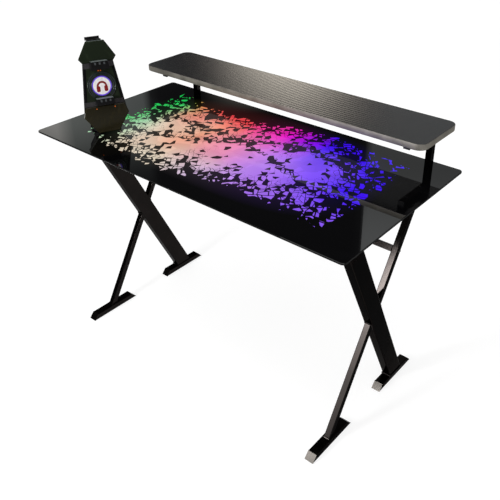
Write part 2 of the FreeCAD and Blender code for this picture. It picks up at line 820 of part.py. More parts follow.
def tube_plugs():
    """Plastic plugs in the open ends of the side rails and the shelf arms."""
    plugs = []
    ends = []
    for side, sign in SIDES:
        for name, y, way in (("front", "-rail_front", "-1"), ("rear", "rail_end", "1")):
            ends.append(("rail_%s_%s" % (name, side), "rail_width", "rail_height", "plug_cap", way,
                         sign + " * frame_half", y, "rail_middle"))
        ends.append(("arm_" + side, "post_side", "post_side", "arm_cap", "-1",
                     sign + " * post_half", "arm_front + arm_cap", "arm_z"))
    for name, wide, tall, cap, way, x, y, z in ends:
        body = new_body("plug_" + name)
        stem = new_sketch(body, "XZ_Plane")
        stem_x = "(%s / 2 - tube_wall - fit_gap)" % wide
        stem_y = "(%s / 2 - tube_wall - fit_gap)" % tall
        rectangle(stem, "-" + stem_x, stem_x, "-" + stem_y, stem_y)
        pad(body, stem, "plug_depth", reverse=way == "-1")
        cover = new_sketch(body, "XZ_Plane")
        rectangle(cover, "-%s / 2" % wide, "%s / 2" % wide, "-%s / 2" % tall, "%s / 2" % tall)
        pad(body, cover, cap, reverse=way == "1")
        plugs.append(place(body, x, y, z))
    group("tube_plugs", plugs)


def shelf():
    """Laminated board with its edge band, on a post and an arm at each end."""
    trim = "2 * (band_thickness + band_glue)"
    board = block("shelf_board", "shelf_length - " + trim, "shelf_depth - " + trim, "shelf_thickness")
    round_edges(board, "shelf_corner - band_thickness - band_glue", upright)
    pilots = [("%s * post_half" % sign, "%s - shelf_middle" % y)
              for _, sign in SIDES for y in SHELF_SCREW_ROWS]
    drill(board, "XY_Plane", pilots, "shelf_screw_diameter + 2 * fit_gap",
          "shelf_screw_bite + overrun", reverse=True)
    node(place(board, y="shelf_middle", z="shelf_bottom"), "shelf_board")
    band = block("shelf_edge_band", "shelf_length", "shelf_depth", "shelf_thickness")
    inside = new_sketch(band, "XY_Plane")
    long_half = "(shelf_length / 2 - band_thickness)"
    short_half = "(shelf_depth / 2 - band_thickness)"
    rectangle(inside, "-" + long_half, long_half, "-" + short_half, short_half)
    pocket(band, inside)
    for half, corner in ((long_half, "shelf_corner - band_thickness"), ("shelf_length / 2", "shelf_corner")):
        reach = value(half)
        round_edges(band, corner,
                    lambda middle, way: upright(middle, way) and abs(abs(middle.x) - reach) < 1e-4)
    node(place(band, y="shelf_middle", z="shelf_bottom"), "shelf_edge_band")
    for side, sign in SIDES:
        post = tube("shelf_post_" + side, "XY_Plane", "post_side", "post_side", "thin_corner",
                    "shelf_bottom - rail_bottom")
        centre = "(shelf_bottom + rail_bottom) / 2"
        bolts = [("0", "rail_middle + %s - %s" % (shift, centre))
                 for shift in ("post_bolt_spacing / 2", "-post_bolt_spacing / 2")]
        drill(post, "XZ_Plane", bolts, "post_bolt_diameter + 2 * bolt_play")
        node(place(post, sign + " * post_half", "post_y", centre), "shelf_post_" + side)
        arm = tube("shelf_arm_" + side, "XZ_Plane", "post_side", "post_side", "thin_corner", "arm_length")
        screws = [("0", y + " - arm_y") for y in SHELF_SCREW_ROWS]
        drill(arm, "XY_Plane", screws, "shelf_screw_diameter + 2 * bolt_play")
        node(place(arm, sign + " * post_half", "arm_y", "arm_z"), "shelf_arm_" + side)


def shelf_screws():
    screws = []
    bolts = []
    for side, sign in SIDES:
        for step, y in enumerate(SHELF_SCREW_ROWS):
            item = screw("shelf_screw_%s_%d" % (side, step), "shelf_screw_head", "shelf_screw_head_height",
                         "shelf_screw_diameter", "post_side + shelf_screw_bite")
            screws.append(place(item, sign + " * post_half", y, "shelf_bottom - post_side", "rotationx(180)"))
        for step, shift in enumerate(("post_bolt_spacing / 2", "-post_bolt_spacing / 2")):
            item = screw("post_bolt_%s_%d" % (side, step), "post_bolt_head", "post_bolt_head_height",
                         "post_bolt_diameter", "post_side + post_bolt_grip")
            bolts.append(place(item, sign + " * post_half", "rail_rear + post_side", "rail_middle + " + shift,
                               "rotationx(-90)"))
    group("shelf_screws", screws)
    group("post_bolts", bolts)


BUTTONS = (("button_power", "-button_pitch"), ("button_mode", "0"), ("button_speed", "button_pitch"))
BUTTON_HEIGHT = "box_height / 2"
BOSS_PLACES = (("boss_inset - box_length / 2", "box_depth - boss_inset"),
               ("box_length / 2 - boss_inset", "box_depth - boss_inset"))


def place_in_box(item, z="box_bottom"):
    """Set an object, drawn from the middle of the box's front edge, under the pan."""
    return place(item, "box_right", "-box_front", z)


def control_case():
    """The box under the pan: open below, holed for buttons and the power inlet, with screw bosses."""
    body = new_body("control_case")
    walls = new_sketch(body, "XY_Plane")
    rectangle(walls, "-box_length / 2", "box_length / 2", "0", "box_depth")
    pad(body, walls, "box_height")
    well = new_sketch(body, "XY_Plane")
    rectangle(well, "box_wall - box_length / 2", "box_length / 2 - box_wall",
              "box_wall", "box_depth - box_wall")
    pocket(body, well, "box_height - box_wall", reverse=True)
    bosses = new_sketch(body, "XY_Plane")
    circles(bosses, BOSS_PLACES, "boss_diameter")
    pad(body, bosses, "box_height - box_wall / 2")
    drill(body, "XY_Plane", BOSS_PLACES, "cover_screw_diameter + 2 * fit_gap",
          "cover_screw_length + overrun", reverse=True)
    drill(body, "XZ_Plane", [(x, BUTTON_HEIGHT) for _, x in BUTTONS], "button_diameter + 2 * button_play",
          "box_wall + overrun")
    drill(body, "XZ_Plane", [("inlet_offset", BUTTON_HEIGHT)], "inlet_nose + 2 * fit_gap",
          "box_wall + overrun", "-box_depth", reverse=True)
    node(place_in_box(body), "control_case")


def control_cover():
    body = new_body("control_cover")
    sketch = new_sketch(body, "XY_Plane")
    rectangle(sketch, "-box_length / 2", "box_length / 2", "0", "box_depth")
    pad(body, sketch, "cover_thickness")
    drill(body, "XY_Plane", BOSS_PLACES, "cover_screw_diameter + 2 * bolt_play")
    node(place_in_box(body, "box_bottom - cover_thickness"), "control_cover")


def control_board():
    """The upright circuit board with a switch behind each button."""
    body = new_body("control_board")
    sketch = new_sketch(body, "XZ_Plane", "-board_front - board_thickness")
    rectangle(sketch, "-board_length / 2", "board_length / 2", "0", "box_height - box_wall")
    pad(body, sketch, "board_thickness")
    switches = new_sketch(body, "XZ_Plane", "-board_front")
    for _, x in BUTTONS:
        half = "switch_side / 2"
        rectangle(switches, "%s - %s" % (x, half), "%s + %s" % (x, half),
                  "%s - %s" % (BUTTON_HEIGHT, half), "%s + %s" % (BUTTON_HEIGHT, half))
    pad(body, switches, "switch_depth")
    node(place_in_box(body), "control_board")


def power_inlet():
    """The low-voltage socket behind the box's rear wall."""
    body = new_body("power_inlet")
    back = "(box_depth - box_wall)"
    sketch = new_sketch(body, "XZ_Plane", "-" + back)
    half = "inlet_side / 2"
    rectangle(sketch, "inlet_offset - " + half, "inlet_offset + " + half,
              "%s - %s" % (BUTTON_HEIGHT, half), "%s + %s" % (BUTTON_HEIGHT, half))
    pad(body, sketch, "inlet_depth")
    nose = new_sketch(body, "XZ_Plane", "-" + back)
    circles(nose, [("inlet_offset", BUTTON_HEIGHT)], "inlet_nose")
    pad(body, nose, "box_wall", reverse=True)
    drill(body, "XZ_Plane", [("inlet_offset", BUTTON_HEIGHT)], "inlet_bore", "inlet_bore_depth",
          "-box_depth", reverse=True)
    node(place_in_box(body), "power_inlet")


def buttons():
    """Push buttons, each with a flange that keeps it in the box."""
    for label, x in BUTTONS:
        body = new_body(label)
        flange = new_sketch(body, "XZ_Plane", "-button_back")
        circles(flange, [("0", BUTTON_HEIGHT)], "button_flange")
        pad(body, flange, "button_flange_thickness")
        cap = new_sketch(body, "XZ_Plane", "-button_back")
        circles(cap, [("0", BUTTON_HEIGHT)], "button_diameter")
        pad(body, cap, "button_back + button_proud")
        node(place(body, "box_right + " + x, "-box_front", "box_bottom"), label)


def control_screws():
    screws = []
    for step, (x, y) in enumerate(BOSS_PLACES):
        item = screw("cover_screw_%d" % step, "cover_screw_head", "cover_screw_head_height",
                     "cover_screw_diameter", "cover_screw_length")
        screws.append(place(item, "box_right + " + x, y + " - box_front", "box_bottom - cover_thickness",
                            "rotationx(180)"))
    group("control_screws", screws)


def tower_base():
    """The weighted foot of the tower."""
    body = new_body("tower_base")
    sketch = new_sketch(body, "XY_Plane", "tower_foot_thickness")
    outline(sketch, mirrored([
        ("base_front_half", "base_front"), ("base_half", "base_front + base_chamfer_front"),
        ("base_half", "base_rear - base_chamfer_rear"), ("base_rear_half", "base_rear")]))
    pad(body, sketch, "base_thickness")
    top = value("base_top")
    round_edges(body, "plate_bevel", lambda middle, way: abs(middle.z - top) < 1e-4, "Chamfer")
    node(place_on_tower(body, lean=False), "tower_base")


def tower_feet():
    feet_under = []
    rows = (("front", "base_front + base_chamfer_front"), ("rear", "base_rear - base_chamfer_rear"))
    for side, sign in SIDES:
        for row, y in rows:
            body = new_body("tower_foot_%s_%s" % (side, row))
            sketch = new_sketch(body, "XY_Plane")
            circles(sketch, [("%s * (base_half - tower_foot_inset)" % sign, y)], "tower_foot_diameter")
            pad(body, sketch, "tower_foot_thickness")
            feet_under.append(place_on_tower(body, lean=False))
    group("tower_feet", feet_under)


def level_with_base(depth):
    """The height, in the leaning frame and at a depth, that lies on the base's top."""
    return "(base_top + (%s) * sin(tower_lean_angle)) / cos(tower_lean_angle)" % depth


def column_half(depth, inset, rim):
    """Right half of the column's outline at a depth, drawn in at its sides and by a rim at its ends."""
    return [("column_foot_half - (%s)" % inset, "%s + %s" % (level_with_base(depth), rim)),
            ("column_hip_half - (%s)" % inset, "column_hip"),
            ("column_waist_half - (%s)" % inset, "head_low - " + rim)]


def loft(body, kind, sections):
    """A straight-sided loft through mirrored half outlines at depths behind the tower's face."""
    feature = body.newObject("PartDesign::" + kind, body.Name + "_" + kind.lower())
    sketches = []
    for half, depth in sections:
        sketch = new_sketch(body, "XZ_Plane", "-(%s)" % depth)
        outline(sketch, mirrored(half))
        sketches.append(sketch)
    feature.Profile = sketches[0]
    feature.Sections = sketches[1:]
    feature.Ruled = True
    doc.recompute()
    return feature


def tower_column():
    """The hollow moulded column, open in front and drawn in towards its back."""
    body = new_body("tower_column")
    loft(body, "AdditiveLoft", [(column_half("column_face", "0", "0"), "column_face"),
                                (column_half("column_back", "column_taper", "0"), "column_back")])
    bore_back = "column_back - column_rim / 2"
    bore_inset = "column_taper + column_rim / 2"
    loft(body, "SubtractiveLoft", [(column_half("column_face", "column_rim", "column_rim"), "column_face"),
                                   (column_half(bore_back, bore_inset, "column_rim"), bore_back)])
    node(place_on_tower(body), "tower_column")


def panel_half_at(height):
    """Half width of the front panels at a height, parallel to the column's sides."""
    fall = "(column_hip_half - column_waist_half) / (head_low - column_hip)"
    return "column_waist_half - panel_inset + (head_low - (%s)) * %s" % (height, fall)


def tower_panels():
    """The three flush plates on the column's face, the middle one holed for the lit disc."""
    spans = (("tower_upper_band", "upper_band_low", "head_low - seam"),
             ("tower_panel", "lower_band_top", "upper_band_low - seam"),
             ("tower_lower_band", "chin_top + seam", "lower_band_top - seam"))
    for label, low, high in spans:
        half = [(panel_half_at(low), low), (panel_half_at(high), high)]
        body = plate(label, half, "column_face", "column_face")
        if label == "tower_panel":
            drill(body, "XZ_Plane", [("0", "disc_height")], "2 * disc_hole")
        node(place_on_tower(body), label)


def tower_head():
    """The solid head on the column, bevelled in front and drawn in towards its back."""
    def half(inset, bevel):
        return [("head_low_half - (%s)" % inset, "head_low + " + bevel),
                ("head_wide_half - (%s)" % inset, "head_wide"),
                ("head_top_half - (%s)" % inset, "head_top - " + bevel)]
    body = new_body("tower_head")
    loft(body, "AdditiveLoft", [(half("plate_bevel", "plate_bevel"), "-head_proud"),
                                (half("0", "0"), "plate_bevel - head_proud"),
                                (half("head_taper", "0"), "head_depth - head_proud")])
    node(place_on_tower(body), "tower_head")


def tower_chin():
    """The chin plate that stands proud of the column."""
    half = [("chin_low_half", "chin_low"), ("chin_wide_half", "chin_wide"), ("chin_top_half", "chin_top")]
    body = plate("tower_chin", half, "column_face", "column_face + chin_proud", "plate_bevel")
    node(place_on_tower(body), "tower_chin")


def tower_hook():
    """The headset saddle on top of the head, with a raised lip at its back."""
    body = new_body("tower_hook")
    sketch = new_sketch(body, "YZ_Plane")
    saddle = "head_top + hook_saddle"
    top = saddle + " + hook_rise"
    outline(sketch, [("hook_front", "head_top"), ("hook_rear", "head_top"), ("hook_rear", top),
                     ("hook_rear - hook_lip", top), ("hook_rear - hook_lip", saddle), ("hook_front", saddle)])
    pad(body, sketch, "hook_width", both=True)
    edge = value(top)
    round_edges(body, "hook_round", lambda middle, way: abs(middle.z - edge) < 1e-4 and abs(way.x) > 0.999)
    node(place_on_tower(body), "tower_hook")


def cradles():
    """Ledges on the bands that a controller hangs on, each with three teeth; the upper one clears the head."""
    spans = (("upper_cradle", "upper_cradle_low", "upper_cradle_top"),
             ("lower_cradle", "lower_cradle_low", "lower_cradle_top"))
    for label, low, high in spans:
        body = plate(label, [("cradle_low_half", low), ("cradle_top_half", high)], "0", "cradle_proud")
        if label == "upper_cradle":
            relief = new_sketch(body, "XZ_Plane")
            rectangle(relief, "-cradle_low_half", "cradle_low_half", "head_low - seam", high + " + overrun")
            pocket(body, relief, "2 * (head_proud + seam)", both=True)
        teeth = new_sketch(body, "XZ_Plane", "cradle_proud")
        for step in ("-1", "0", "1"):
            middle = step + " * tooth_pitch"
            top = high + " - tooth_drop"
            rectangle(teeth, middle + " - tooth_width / 2", middle + " + tooth_width / 2",
                      top + " - tooth_height", top)
        pad(body, teeth, "tooth_proud")
        node(place_on_tower(body), label)


def ring(name, inner, outer, back, thickness):
    """A flat ring about the lit disc's axis, from its back face forwards."""
    body = new_body(name)
    sketch = new_sketch(body, "XZ_Plane", "-(%s)" % back)
    centre = [("0", "disc_height")]
    circles(sketch, centre, "2 * (%s)" % outer)
    if inner:
        circles(sketch, centre, "2 * (%s)" % inner)
    pad(body, sketch, thickness)
    return body


def lit_disc():
    """The lit disc, its glowing ring, the ridged surround and the lamp board behind."""
    lens = ring("disc_lens", None, "lens_radius", "column_face", "column_face + lens_proud")
    front = value("-lens_proud")
    round_edges(lens, "lens_proud / 2", lambda middle, way: abs(middle.y - front) < 1e-4)
    node(place_on_tower(lens), "disc_lens")
    glow = ring("disc_ring", "lens_radius + disc_play", "ring_radius", "column_face",
                "column_face + ring_proud")
    node(place_on_tower(glow), "disc_ring")
    surround = ring("disc_surround", "disc_hole", "surround_radius", "0", "surround_proud")
    for share in RIDGE_SHARES:
        ridge = new_sketch(surround, "XZ_Plane", "surround_proud")
        inner = "disc_hole + %g * (surround_width - ridge_width)" % share
        circles(ridge, [("0", "disc_height")], "2 * (%s)" % inner)
        circles(ridge, [("0", "disc_height")], "2 * (%s + ridge_width)" % inner)
        pad(surround, ridge, "ridge_proud")
    notch = new_sketch(surround, "XZ_Plane")
    rectangle(notch, "-cradle_low_half", "cradle_low_half", "disc_height - surround_radius",
              "lower_cradle_top + seam")
    pocket(surround, notch)
    node(place_on_tower(surround), "disc_surround")
    board = ring("lamp_board", None, "ring_radius + lamp_board_lap", "column_face + lamp_board_thickness",
                 "lamp_board_thickness")
    node(place_on_tower(board), "lamp_board")


def indicator_dots():
    """Small signal lenses under the upper cradle and on the chin."""
    dots = []
    spots = [("%s * dot_pitch / 2" % sign, "upper_cradle_low - upper_dot_drop", "0") for _, sign in SIDES]
    spots += [("%s * chin_dot_half" % sign, "chin_top - chin_dot_drop", "-chin_proud") for _, sign in SIDES]
    for step, (x, z, face) in enumerate(spots):
        body = new_body("indicator_dot_%d" % step)
        sketch = new_sketch(body, "XZ_Plane", "-(%s)" % face)
        circles(sketch, [(x, z)], "dot_diameter")
        pad(body, sketch, "dot_proud")
        dots.append(place_on_tower(body))
    group("indicator_dots", dots)


def build():
    glass_top()
    glass_pads()
    light_pan()
    pan_screws()
    light_diffuser()
    led_strips()
    control_case()
    control_cover()
    control_board()
    power_inlet()
    buttons()
    control_screws()
    side_rails()
    cross_rails()
    stretcher()
    threaded_blocks()
    frame_bolts()
    wide_legs()
    thin_legs()
    feet()
    tube_plugs()
    shelf()
    shelf_screws()
    tower_base()
    tower_feet()
    tower_column()
    tower_panels()
    tower_head()
    tower_chin()
    tower_hook()
    cradles()
    lit_disc()
    indicator_dots()
    doc.recompute()


def export():
    """Write each sub-part after checking that nothing in the document has failed."""
    for item in doc.Objects:
        if "Invalid" in item.State or "Error" in item.State:
            raise ValueError("%s failed: %s" % (item.Label, item.State))
    for item in nodes:
        if item.Shape.isNull() or not item.Shape.isValid():
            raise ValueError("%s has no valid shape" % item.Label)
    os.makedirs("parts", exist_ok=True)
    for item in nodes:
        item.Shape.exportStep("parts/%s.step" % item.Label)
    print("%d sub-parts written" % len(nodes))


build()
export()
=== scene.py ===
import json
import math
import random

import bmesh
import bpy
from mathutils import Matrix, Vector, noise


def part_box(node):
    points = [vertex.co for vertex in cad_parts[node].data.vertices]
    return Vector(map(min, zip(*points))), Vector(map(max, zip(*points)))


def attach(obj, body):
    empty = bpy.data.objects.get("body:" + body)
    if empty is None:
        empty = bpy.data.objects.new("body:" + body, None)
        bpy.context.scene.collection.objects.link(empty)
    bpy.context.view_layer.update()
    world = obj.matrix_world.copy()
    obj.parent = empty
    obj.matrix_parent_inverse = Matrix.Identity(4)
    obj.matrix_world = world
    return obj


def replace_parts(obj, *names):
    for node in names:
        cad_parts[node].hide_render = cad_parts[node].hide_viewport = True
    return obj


bl_info = {
    "name": "Gaming desk looks",
    "version": (1, 0, 0),
    "blender": (4, 5, 0),
    "location": "View3D > Sidebar > Desk",
    "description": "Finishes, lit print, weld beads, bolts and stage for the packed gaming desk",
    "category": "Object",
}

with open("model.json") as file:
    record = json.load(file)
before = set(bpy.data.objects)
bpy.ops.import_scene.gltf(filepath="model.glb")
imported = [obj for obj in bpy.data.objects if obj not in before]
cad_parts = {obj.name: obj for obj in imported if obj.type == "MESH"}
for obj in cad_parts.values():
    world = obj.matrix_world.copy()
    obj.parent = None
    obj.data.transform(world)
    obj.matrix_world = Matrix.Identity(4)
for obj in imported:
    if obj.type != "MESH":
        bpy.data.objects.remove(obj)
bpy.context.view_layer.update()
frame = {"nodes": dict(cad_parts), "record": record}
GLASS_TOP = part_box("glass_top")[1].z
LIGHT_LOW, LIGHT_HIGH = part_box("light_diffuser")
NODES = frame["nodes"]
MM = 0.001
MERGE = 1e-6
BLACK = (0.0, 0.0, 0.0, 1.0)


def shade(red, green, blue):
    """A display colour, 0 to 255, as linear RGBA."""
    def linear(part):
        part /= 255
        return part / 12.92 if part <= 0.04045 else ((part + 0.055) / 1.055) ** 2.4
    return (linear(red), linear(green), linear(blue), 1.0)


def setting(kind, **options):
    """A maker of properties of one kind, each with its own name, description and default."""
    def make(name, description, default):
        return kind(name=name, description=description, default=default, **options)
    return make


size = setting(bpy.props.FloatProperty, precision=5, unit="LENGTH")
share = setting(bpy.props.FloatProperty, subtype="FACTOR")
watts = setting(bpy.props.FloatProperty, unit="POWER")
focus = setting(bpy.props.FloatProperty, unit="CAMERA")
colour = setting(bpy.props.FloatVectorProperty, size=4, min=0.0, soft_max=1.0, subtype="COLOR")
spot = setting(bpy.props.FloatVectorProperty, size=3, precision=5, subtype="TRANSLATION")
whole = setting(bpy.props.IntProperty)


def turn(name, description, degrees):
    return bpy.props.FloatProperty(name=name, description=description, default=math.radians(degrees),
                                   unit="ROTATION")


class PrintSettings(bpy.types.PropertyGroup):
    """The lit mosaic in the glass top."""
    width: size("Width", "Width of the printed field", LIGHT_HIGH.x - LIGHT_LOW.x - 0.012)
    depth: size("Depth", "Depth of the printed field", 0.458)
    forward: size("Forward", "How far the field sits in front of the lit panel's middle", 0.018)
    tile: size("Tile", "Side of a tile before its corners stray", 0.0135)
    slant: turn("Slant", "Turn of the rows of tiles", 33)
    looseness: share("Looseness", "How far tile corners stray, as a share of a tile", 0.46)
    doubles: share("Doubles", "Share of edges tried for joining two tiles into one", 0.12)
    halves: share("Halves", "Share of tiles cut into two triangles", 0.38)
    sway: size("Sway", "Height of the wave that the rows follow", 0.03)
    film: size("Film", "Thickness of a tile", 0.00015)
    seed: whole("Seed", "Start of the random draws", 41)
    green: colour("Green", "Back left of the print", shade(26, 206, 88))
    mint: colour("Mint", "Front left of the print", shade(166, 214, 172))
    cream: colour("Cream", "Front, left of the middle", shade(226, 212, 190))
    peach: colour("Peach", "Middle, left of the centre", shade(242, 164, 134))
    amber: colour("Amber", "Back, left of the middle", shade(238, 136, 84))
    red: colour("Red", "Back, near the middle", shade(250, 74, 80))
    pink: colour("Pink", "Centre of the print", shade(236, 142, 186))
    lilac: colour("Lilac", "Front, near the middle", shade(212, 190, 214))
    magenta: colour("Magenta", "Back, right of the middle", shade(250, 24, 206))
    mauve: colour("Mauve", "Front, right of the middle", shade(186, 128, 246))
    violet: colour("Violet", "Front right of the print", shade(142, 92, 250))
    blue: colour("Blue", "Back right of the print", shade(62, 8, 252))


class FinishSettings(bpy.types.PropertyGroup):
    """Colours of the desk's and the tower's surfaces, and the sizes of the shelf film's pattern."""
    glass: colour("Glass", "Black print behind the glass", shade(7, 7, 8))
    coat_dark: colour("Coat, dark", "Frame coat where it lies thick", shade(25, 23, 22))
    coat_light: colour("Coat, light", "Frame coat where it lies thin", shade(30, 27, 26))
    oxide: colour("Oxide", "Blackened bolt steel", shade(34, 33, 33))
    steel: colour("Steel", "Bare steel blocks", shade(150, 150, 152))
    rubber: colour("Rubber", "Pads and glides", shade(20, 20, 20))
    plastic: colour("Plastic", "Plugs and light control case", shade(17, 17, 18))
    cap: colour("Caps", "Glossy end caps of the feet", shade(40, 38, 36))
    pale: colour("Pale plastic", "Buttons and socket", shade(196, 196, 192))
    pan: colour("Pan", "White coat of the light pan", shade(216, 216, 212))
    opal: colour("Opal", "Opal sheet under the glass", shade(226, 226, 222))
    # The shelf film is painted darker in the weave's hollows as painted shade, and lighter on its crowns as
    # painted sheen.
    weave_dark: colour("Weave, dark", "Shelf film in the weave's hollows", shade(24, 24, 26))
    weave_painted_sheen: colour("Weave, light", "Shelf film on the weave's crowns", shade(37, 37, 40))
    tow: size("Tow", "Width of a strand of the shelf film", 0.0012)
    tow_length: size("Tow length", "Length of a strand between two crossings", 0.0045)
    banding: size("Banding", "Distance between the film's broad bands", 0.0125)
    relief: size("Relief", "Height of the film's broad bands", 0.00012)
    backing: colour("Backing", "Smooth sheet on the shelf's underside", shade(24, 24, 25))
    band: colour("Edge band", "Strip glued round the shelf", shade(146, 142, 134))
    tower_plate: colour("Tower plates", "Polished front plates of the tower", shade(31, 38, 27))
    tower_chin: colour("Tower chin", "Polished plate at the tower's foot", shade(34, 31, 18))
    ridges: colour("Ridges", "Glossy ridges about the tower's disc", shade(26, 36, 34))
    tower_shell: colour("Tower shell", "Column and cradles of the tower", shade(12, 12, 13))
    tower_band: colour("Tower bands", "Grained bands beside the cradles", shade(46, 44, 46))
    # The pale colour on the tops of the cradles and of the head is a painted highlight.
    pad: colour("Cradle pads", "Pads on the ledges of the cradles", shade(118, 126, 126))
    tooth: colour("Cradle teeth", "Teeth on the fronts of the cradles", shade(74, 78, 80))
    lens: colour("Lens", "Lit disc of the tower", shade(246, 242, 242))
    glow: colour("Glow", "Lit ring round the disc", shade(94, 62, 200))
    amber: colour("Amber", "Indicator dots", shade(255, 120, 24))
    sign: colour("Sign", "Headset sign on the disc", shade(140, 12, 16))


class JointSettings(bpy.types.PropertyGroup):
    """Weld beads, bolt heads and the shelf's rim."""
    bead: size("Bead", "Radius of a weld bead", 0.0034)
    ripple_pitch: size("Ripple pitch", "Distance between the ripples of a bead", 0.0032)
    ripple: share("Ripple", "How much a bead's radius swells and shrinks", 0.03)
    rim: size("Rim", "Rounding of the shelf's edge band", 0.001)
    socket: share("Socket", "Width of a hexagon socket, as a share of the head", 0.46)
    socket_depth: share("Socket depth", "Depth of the socket, as a share of the head's height", 0.7)


class SignSettings(bpy.types.PropertyGroup):
    """Where the tower stands, and the headset sign and ridges at its disc."""
    tower: spot("Tower", "Foot of the tower on the glass", (-0.407, -0.1765, GLASS_TOP))
    turn: turn("Turn", "Turn of the tower about the vertical", 65)
    lean: turn("Lean", "Lean of the tower to its back", 10)
    arch: size("Arch", "Radius of the headband", 0.0135)
    strip: size("Strip", "Width of the headband", 0.0062)
    cup_width: size("Cup width", "Width of an ear cup", 0.0115)
    cup_height: size("Cup height", "Height of an ear cup", 0.0185)
    film: size("Film", "Thickness of the sign", 0.0003)
    border: size("Border", "Width of the black border down the tower's panel", 0.006)
    ridge: size("Ridge", "Width of a ridge about the disc", 0.0024)
    plate: size("Surround", "Height of the surround between its ridges", 0.0012)
    play: size("Play", "Gap between the lit ring and the surround", 0.0003)


class StageSettings(bpy.types.PropertyGroup):
    """Floor, room, lamps and camera."""
    floor: colour("Floor", "Pale floor", (0.30, 0.30, 0.30, 1.0))
    floor_span: size("Floor span", "Side of the square floor", 60.0)
    floor_lift: share("Floor lift", "Light that the seen floor is given to be white", 0.80)
    room: colour("Room", "Room above the floor", (0.10, 0.10, 0.10, 1.0))
    wall_back: colour("Back wall", "Dark wall behind the desk", (0.025, 0.025, 0.027, 1.0))
    wall_left: colour("Left wall", "Lit wall behind and left of the desk", (0.34, 0.37, 0.36, 1.0))
    wall_mid: colour("Left wall, middle", "The same wall further left", (0.56, 0.60, 0.57, 1.0))
    wall_near: colour("Left wall, near", "The same wall at its near end", (1.30, 1.28, 1.22, 1.0))
    wall_right: colour("Right wall", "Lit wall behind and right of the desk", (0.30, 0.31, 0.31, 1.0))
    wall_high: colour("Right wall, high", "Upper part of the right wall", (0.85, 0.88, 0.88, 1.0))
    glow: colour("Back glow", "Soft light low on the back wall", (4.0, 3.65, 3.15, 1.0))
    key_spot: spot("Key", "Front softbox", (-0.37, -2.2, 0.935))
    key_width: size("Key width", "Width of the front softbox", 0.34)
    key_height: size("Key height", "Height of the front softbox", 1.37)
    key_power: watts("Key power", "Power of the front softbox at its full level", 92.0)
    top_turn: turn("Top tilt", "Tilt of the light from above", 14)
    top_spread: turn("Top spread", "How wide the light from above is", 80)
    top_level: share("Top level", "Strength of the light from above", 2.0)
    camera: spot("Camera", "Where the camera stands", (1.25745, -1.36041, 1.60531))
    heading: turn("Heading", "Turn of the camera to the left of +Y", 39.84)
    dip: turn("Dip", "Tilt of the camera below the horizon", 30.06)
    roll: turn("Roll", "Roll of the camera", 0.418)
    lens: focus("Lens", "Focal length", 47.72)
    shift_x: share("Shift across", "Lens shift across the picture", -0.0428)
    shift_y: share("Shift up", "Lens shift up the picture", -0.0845)


# Shader building

def feed(node, inputs):
    """Set or link a node's inputs by name or number."""
    for name, value in inputs.items():
        if isinstance(value, bpy.types.NodeSocket):
            node.id_data.links.new(value, node.inputs[name])
        else:
            node.inputs[name].default_value = value


def put(tree, kind, inputs=None, **options):
    """A shader node with its options and inputs set."""
    made = tree.nodes.new("ShaderNode" + kind)
    for name, value in options.items():
        setattr(made, name, value)
    feed(made, inputs or {})
    return made


def sums(tree, operation, *values, clamp=False):
    """A Math node's result."""
    return put(tree, "Math", dict(enumerate(values)), operation=operation, use_clamp=clamp).outputs[0]


def times(tree, first, second):
    return sums(tree, "MULTIPLY", first, second)


def blend(tree, factor, first, second):
    """A mix of two colours."""
    return put(tree, "Mix", {0: factor, 6: first, 7: second}, data_type="RGBA").outputs[2]


def mixed(tree, factor, first, second):
    """A mix of two values."""
    return put(tree, "Mix", {0: factor, 2: first, 3: second}, data_type="FLOAT").outputs[0]


def ranged(tree, value, low, high, to_low=0.0, to_high=1.0, run="LINEAR"):
    """A value taken from one range to another, and held at its ends."""
    return put(tree, "MapRange", {"Value": value, "From Min": low, "From Max": high, "To Min": to_low,
                                  "To Max": to_high}, interpolation_type=run).outputs[0]


def between(tree, factor, low, high):
    """A value from low to high as the factor goes from 0 to 1."""
    return ranged(tree, factor, 0.0, 1.0, low, high)


def steps(tree, value, low, high):
    """0 below low, 1 above high, with a soft step between."""
    return ranged(tree, value, low, high, run="SMOOTHSTEP")


def parts_of(tree, vector):
    """The three parts of a vector."""
    return put(tree, "SeparateXYZ", {"Vector": vector}).outputs


def facing_up(tree):
    """How far a surface faces up: 1 on top, 0 at the sides, -1 below."""
    return parts_of(tree, put(tree, "NewGeometry").outputs["Normal"])[2]


def clouds(tree, vector, scale, detail, distortion=0.0):
    """A soft noise from 0 to 1."""
    return put(tree, "TexNoise", {"Vector": vector, "Scale": scale, "Detail": detail,
                                  "Distortion": distortion}).outputs[0]


def ramp(tree, factor, stops):
    """A colour ramp through (place, colour) stops."""
    made = put(tree, "ValToRGB", {"Fac": factor})
    band = made.color_ramp
    while len(band.elements) < len(stops):
        band.elements.new(0.5)
    for element, (place, tint) in zip(band.elements, stops):
        element.position = place
        element.color = tint
    return made.outputs[0]


def named_ramp(tree, factor, settings, stops):
    """A colour ramp through (place, name of a colour of the settings) stops."""
    return ramp(tree, factor, [(place, getattr(settings, name)) for place, name in stops])


def effect(name, takes, gives):
    """An empty node group with its sockets; returns it with what it is given and its output node."""
    group = bpy.data.node_groups.new(name, "ShaderNodeTree")
    for way, sockets in (("INPUT", takes), ("OUTPUT", gives)):
        for label, kind in sockets.items():
            group.interface.new_socket(name=label, in_out=way, socket_type="NodeSocket" + kind)
    return group, group.nodes.new("NodeGroupInput").outputs, group.nodes.new("NodeGroupOutput")


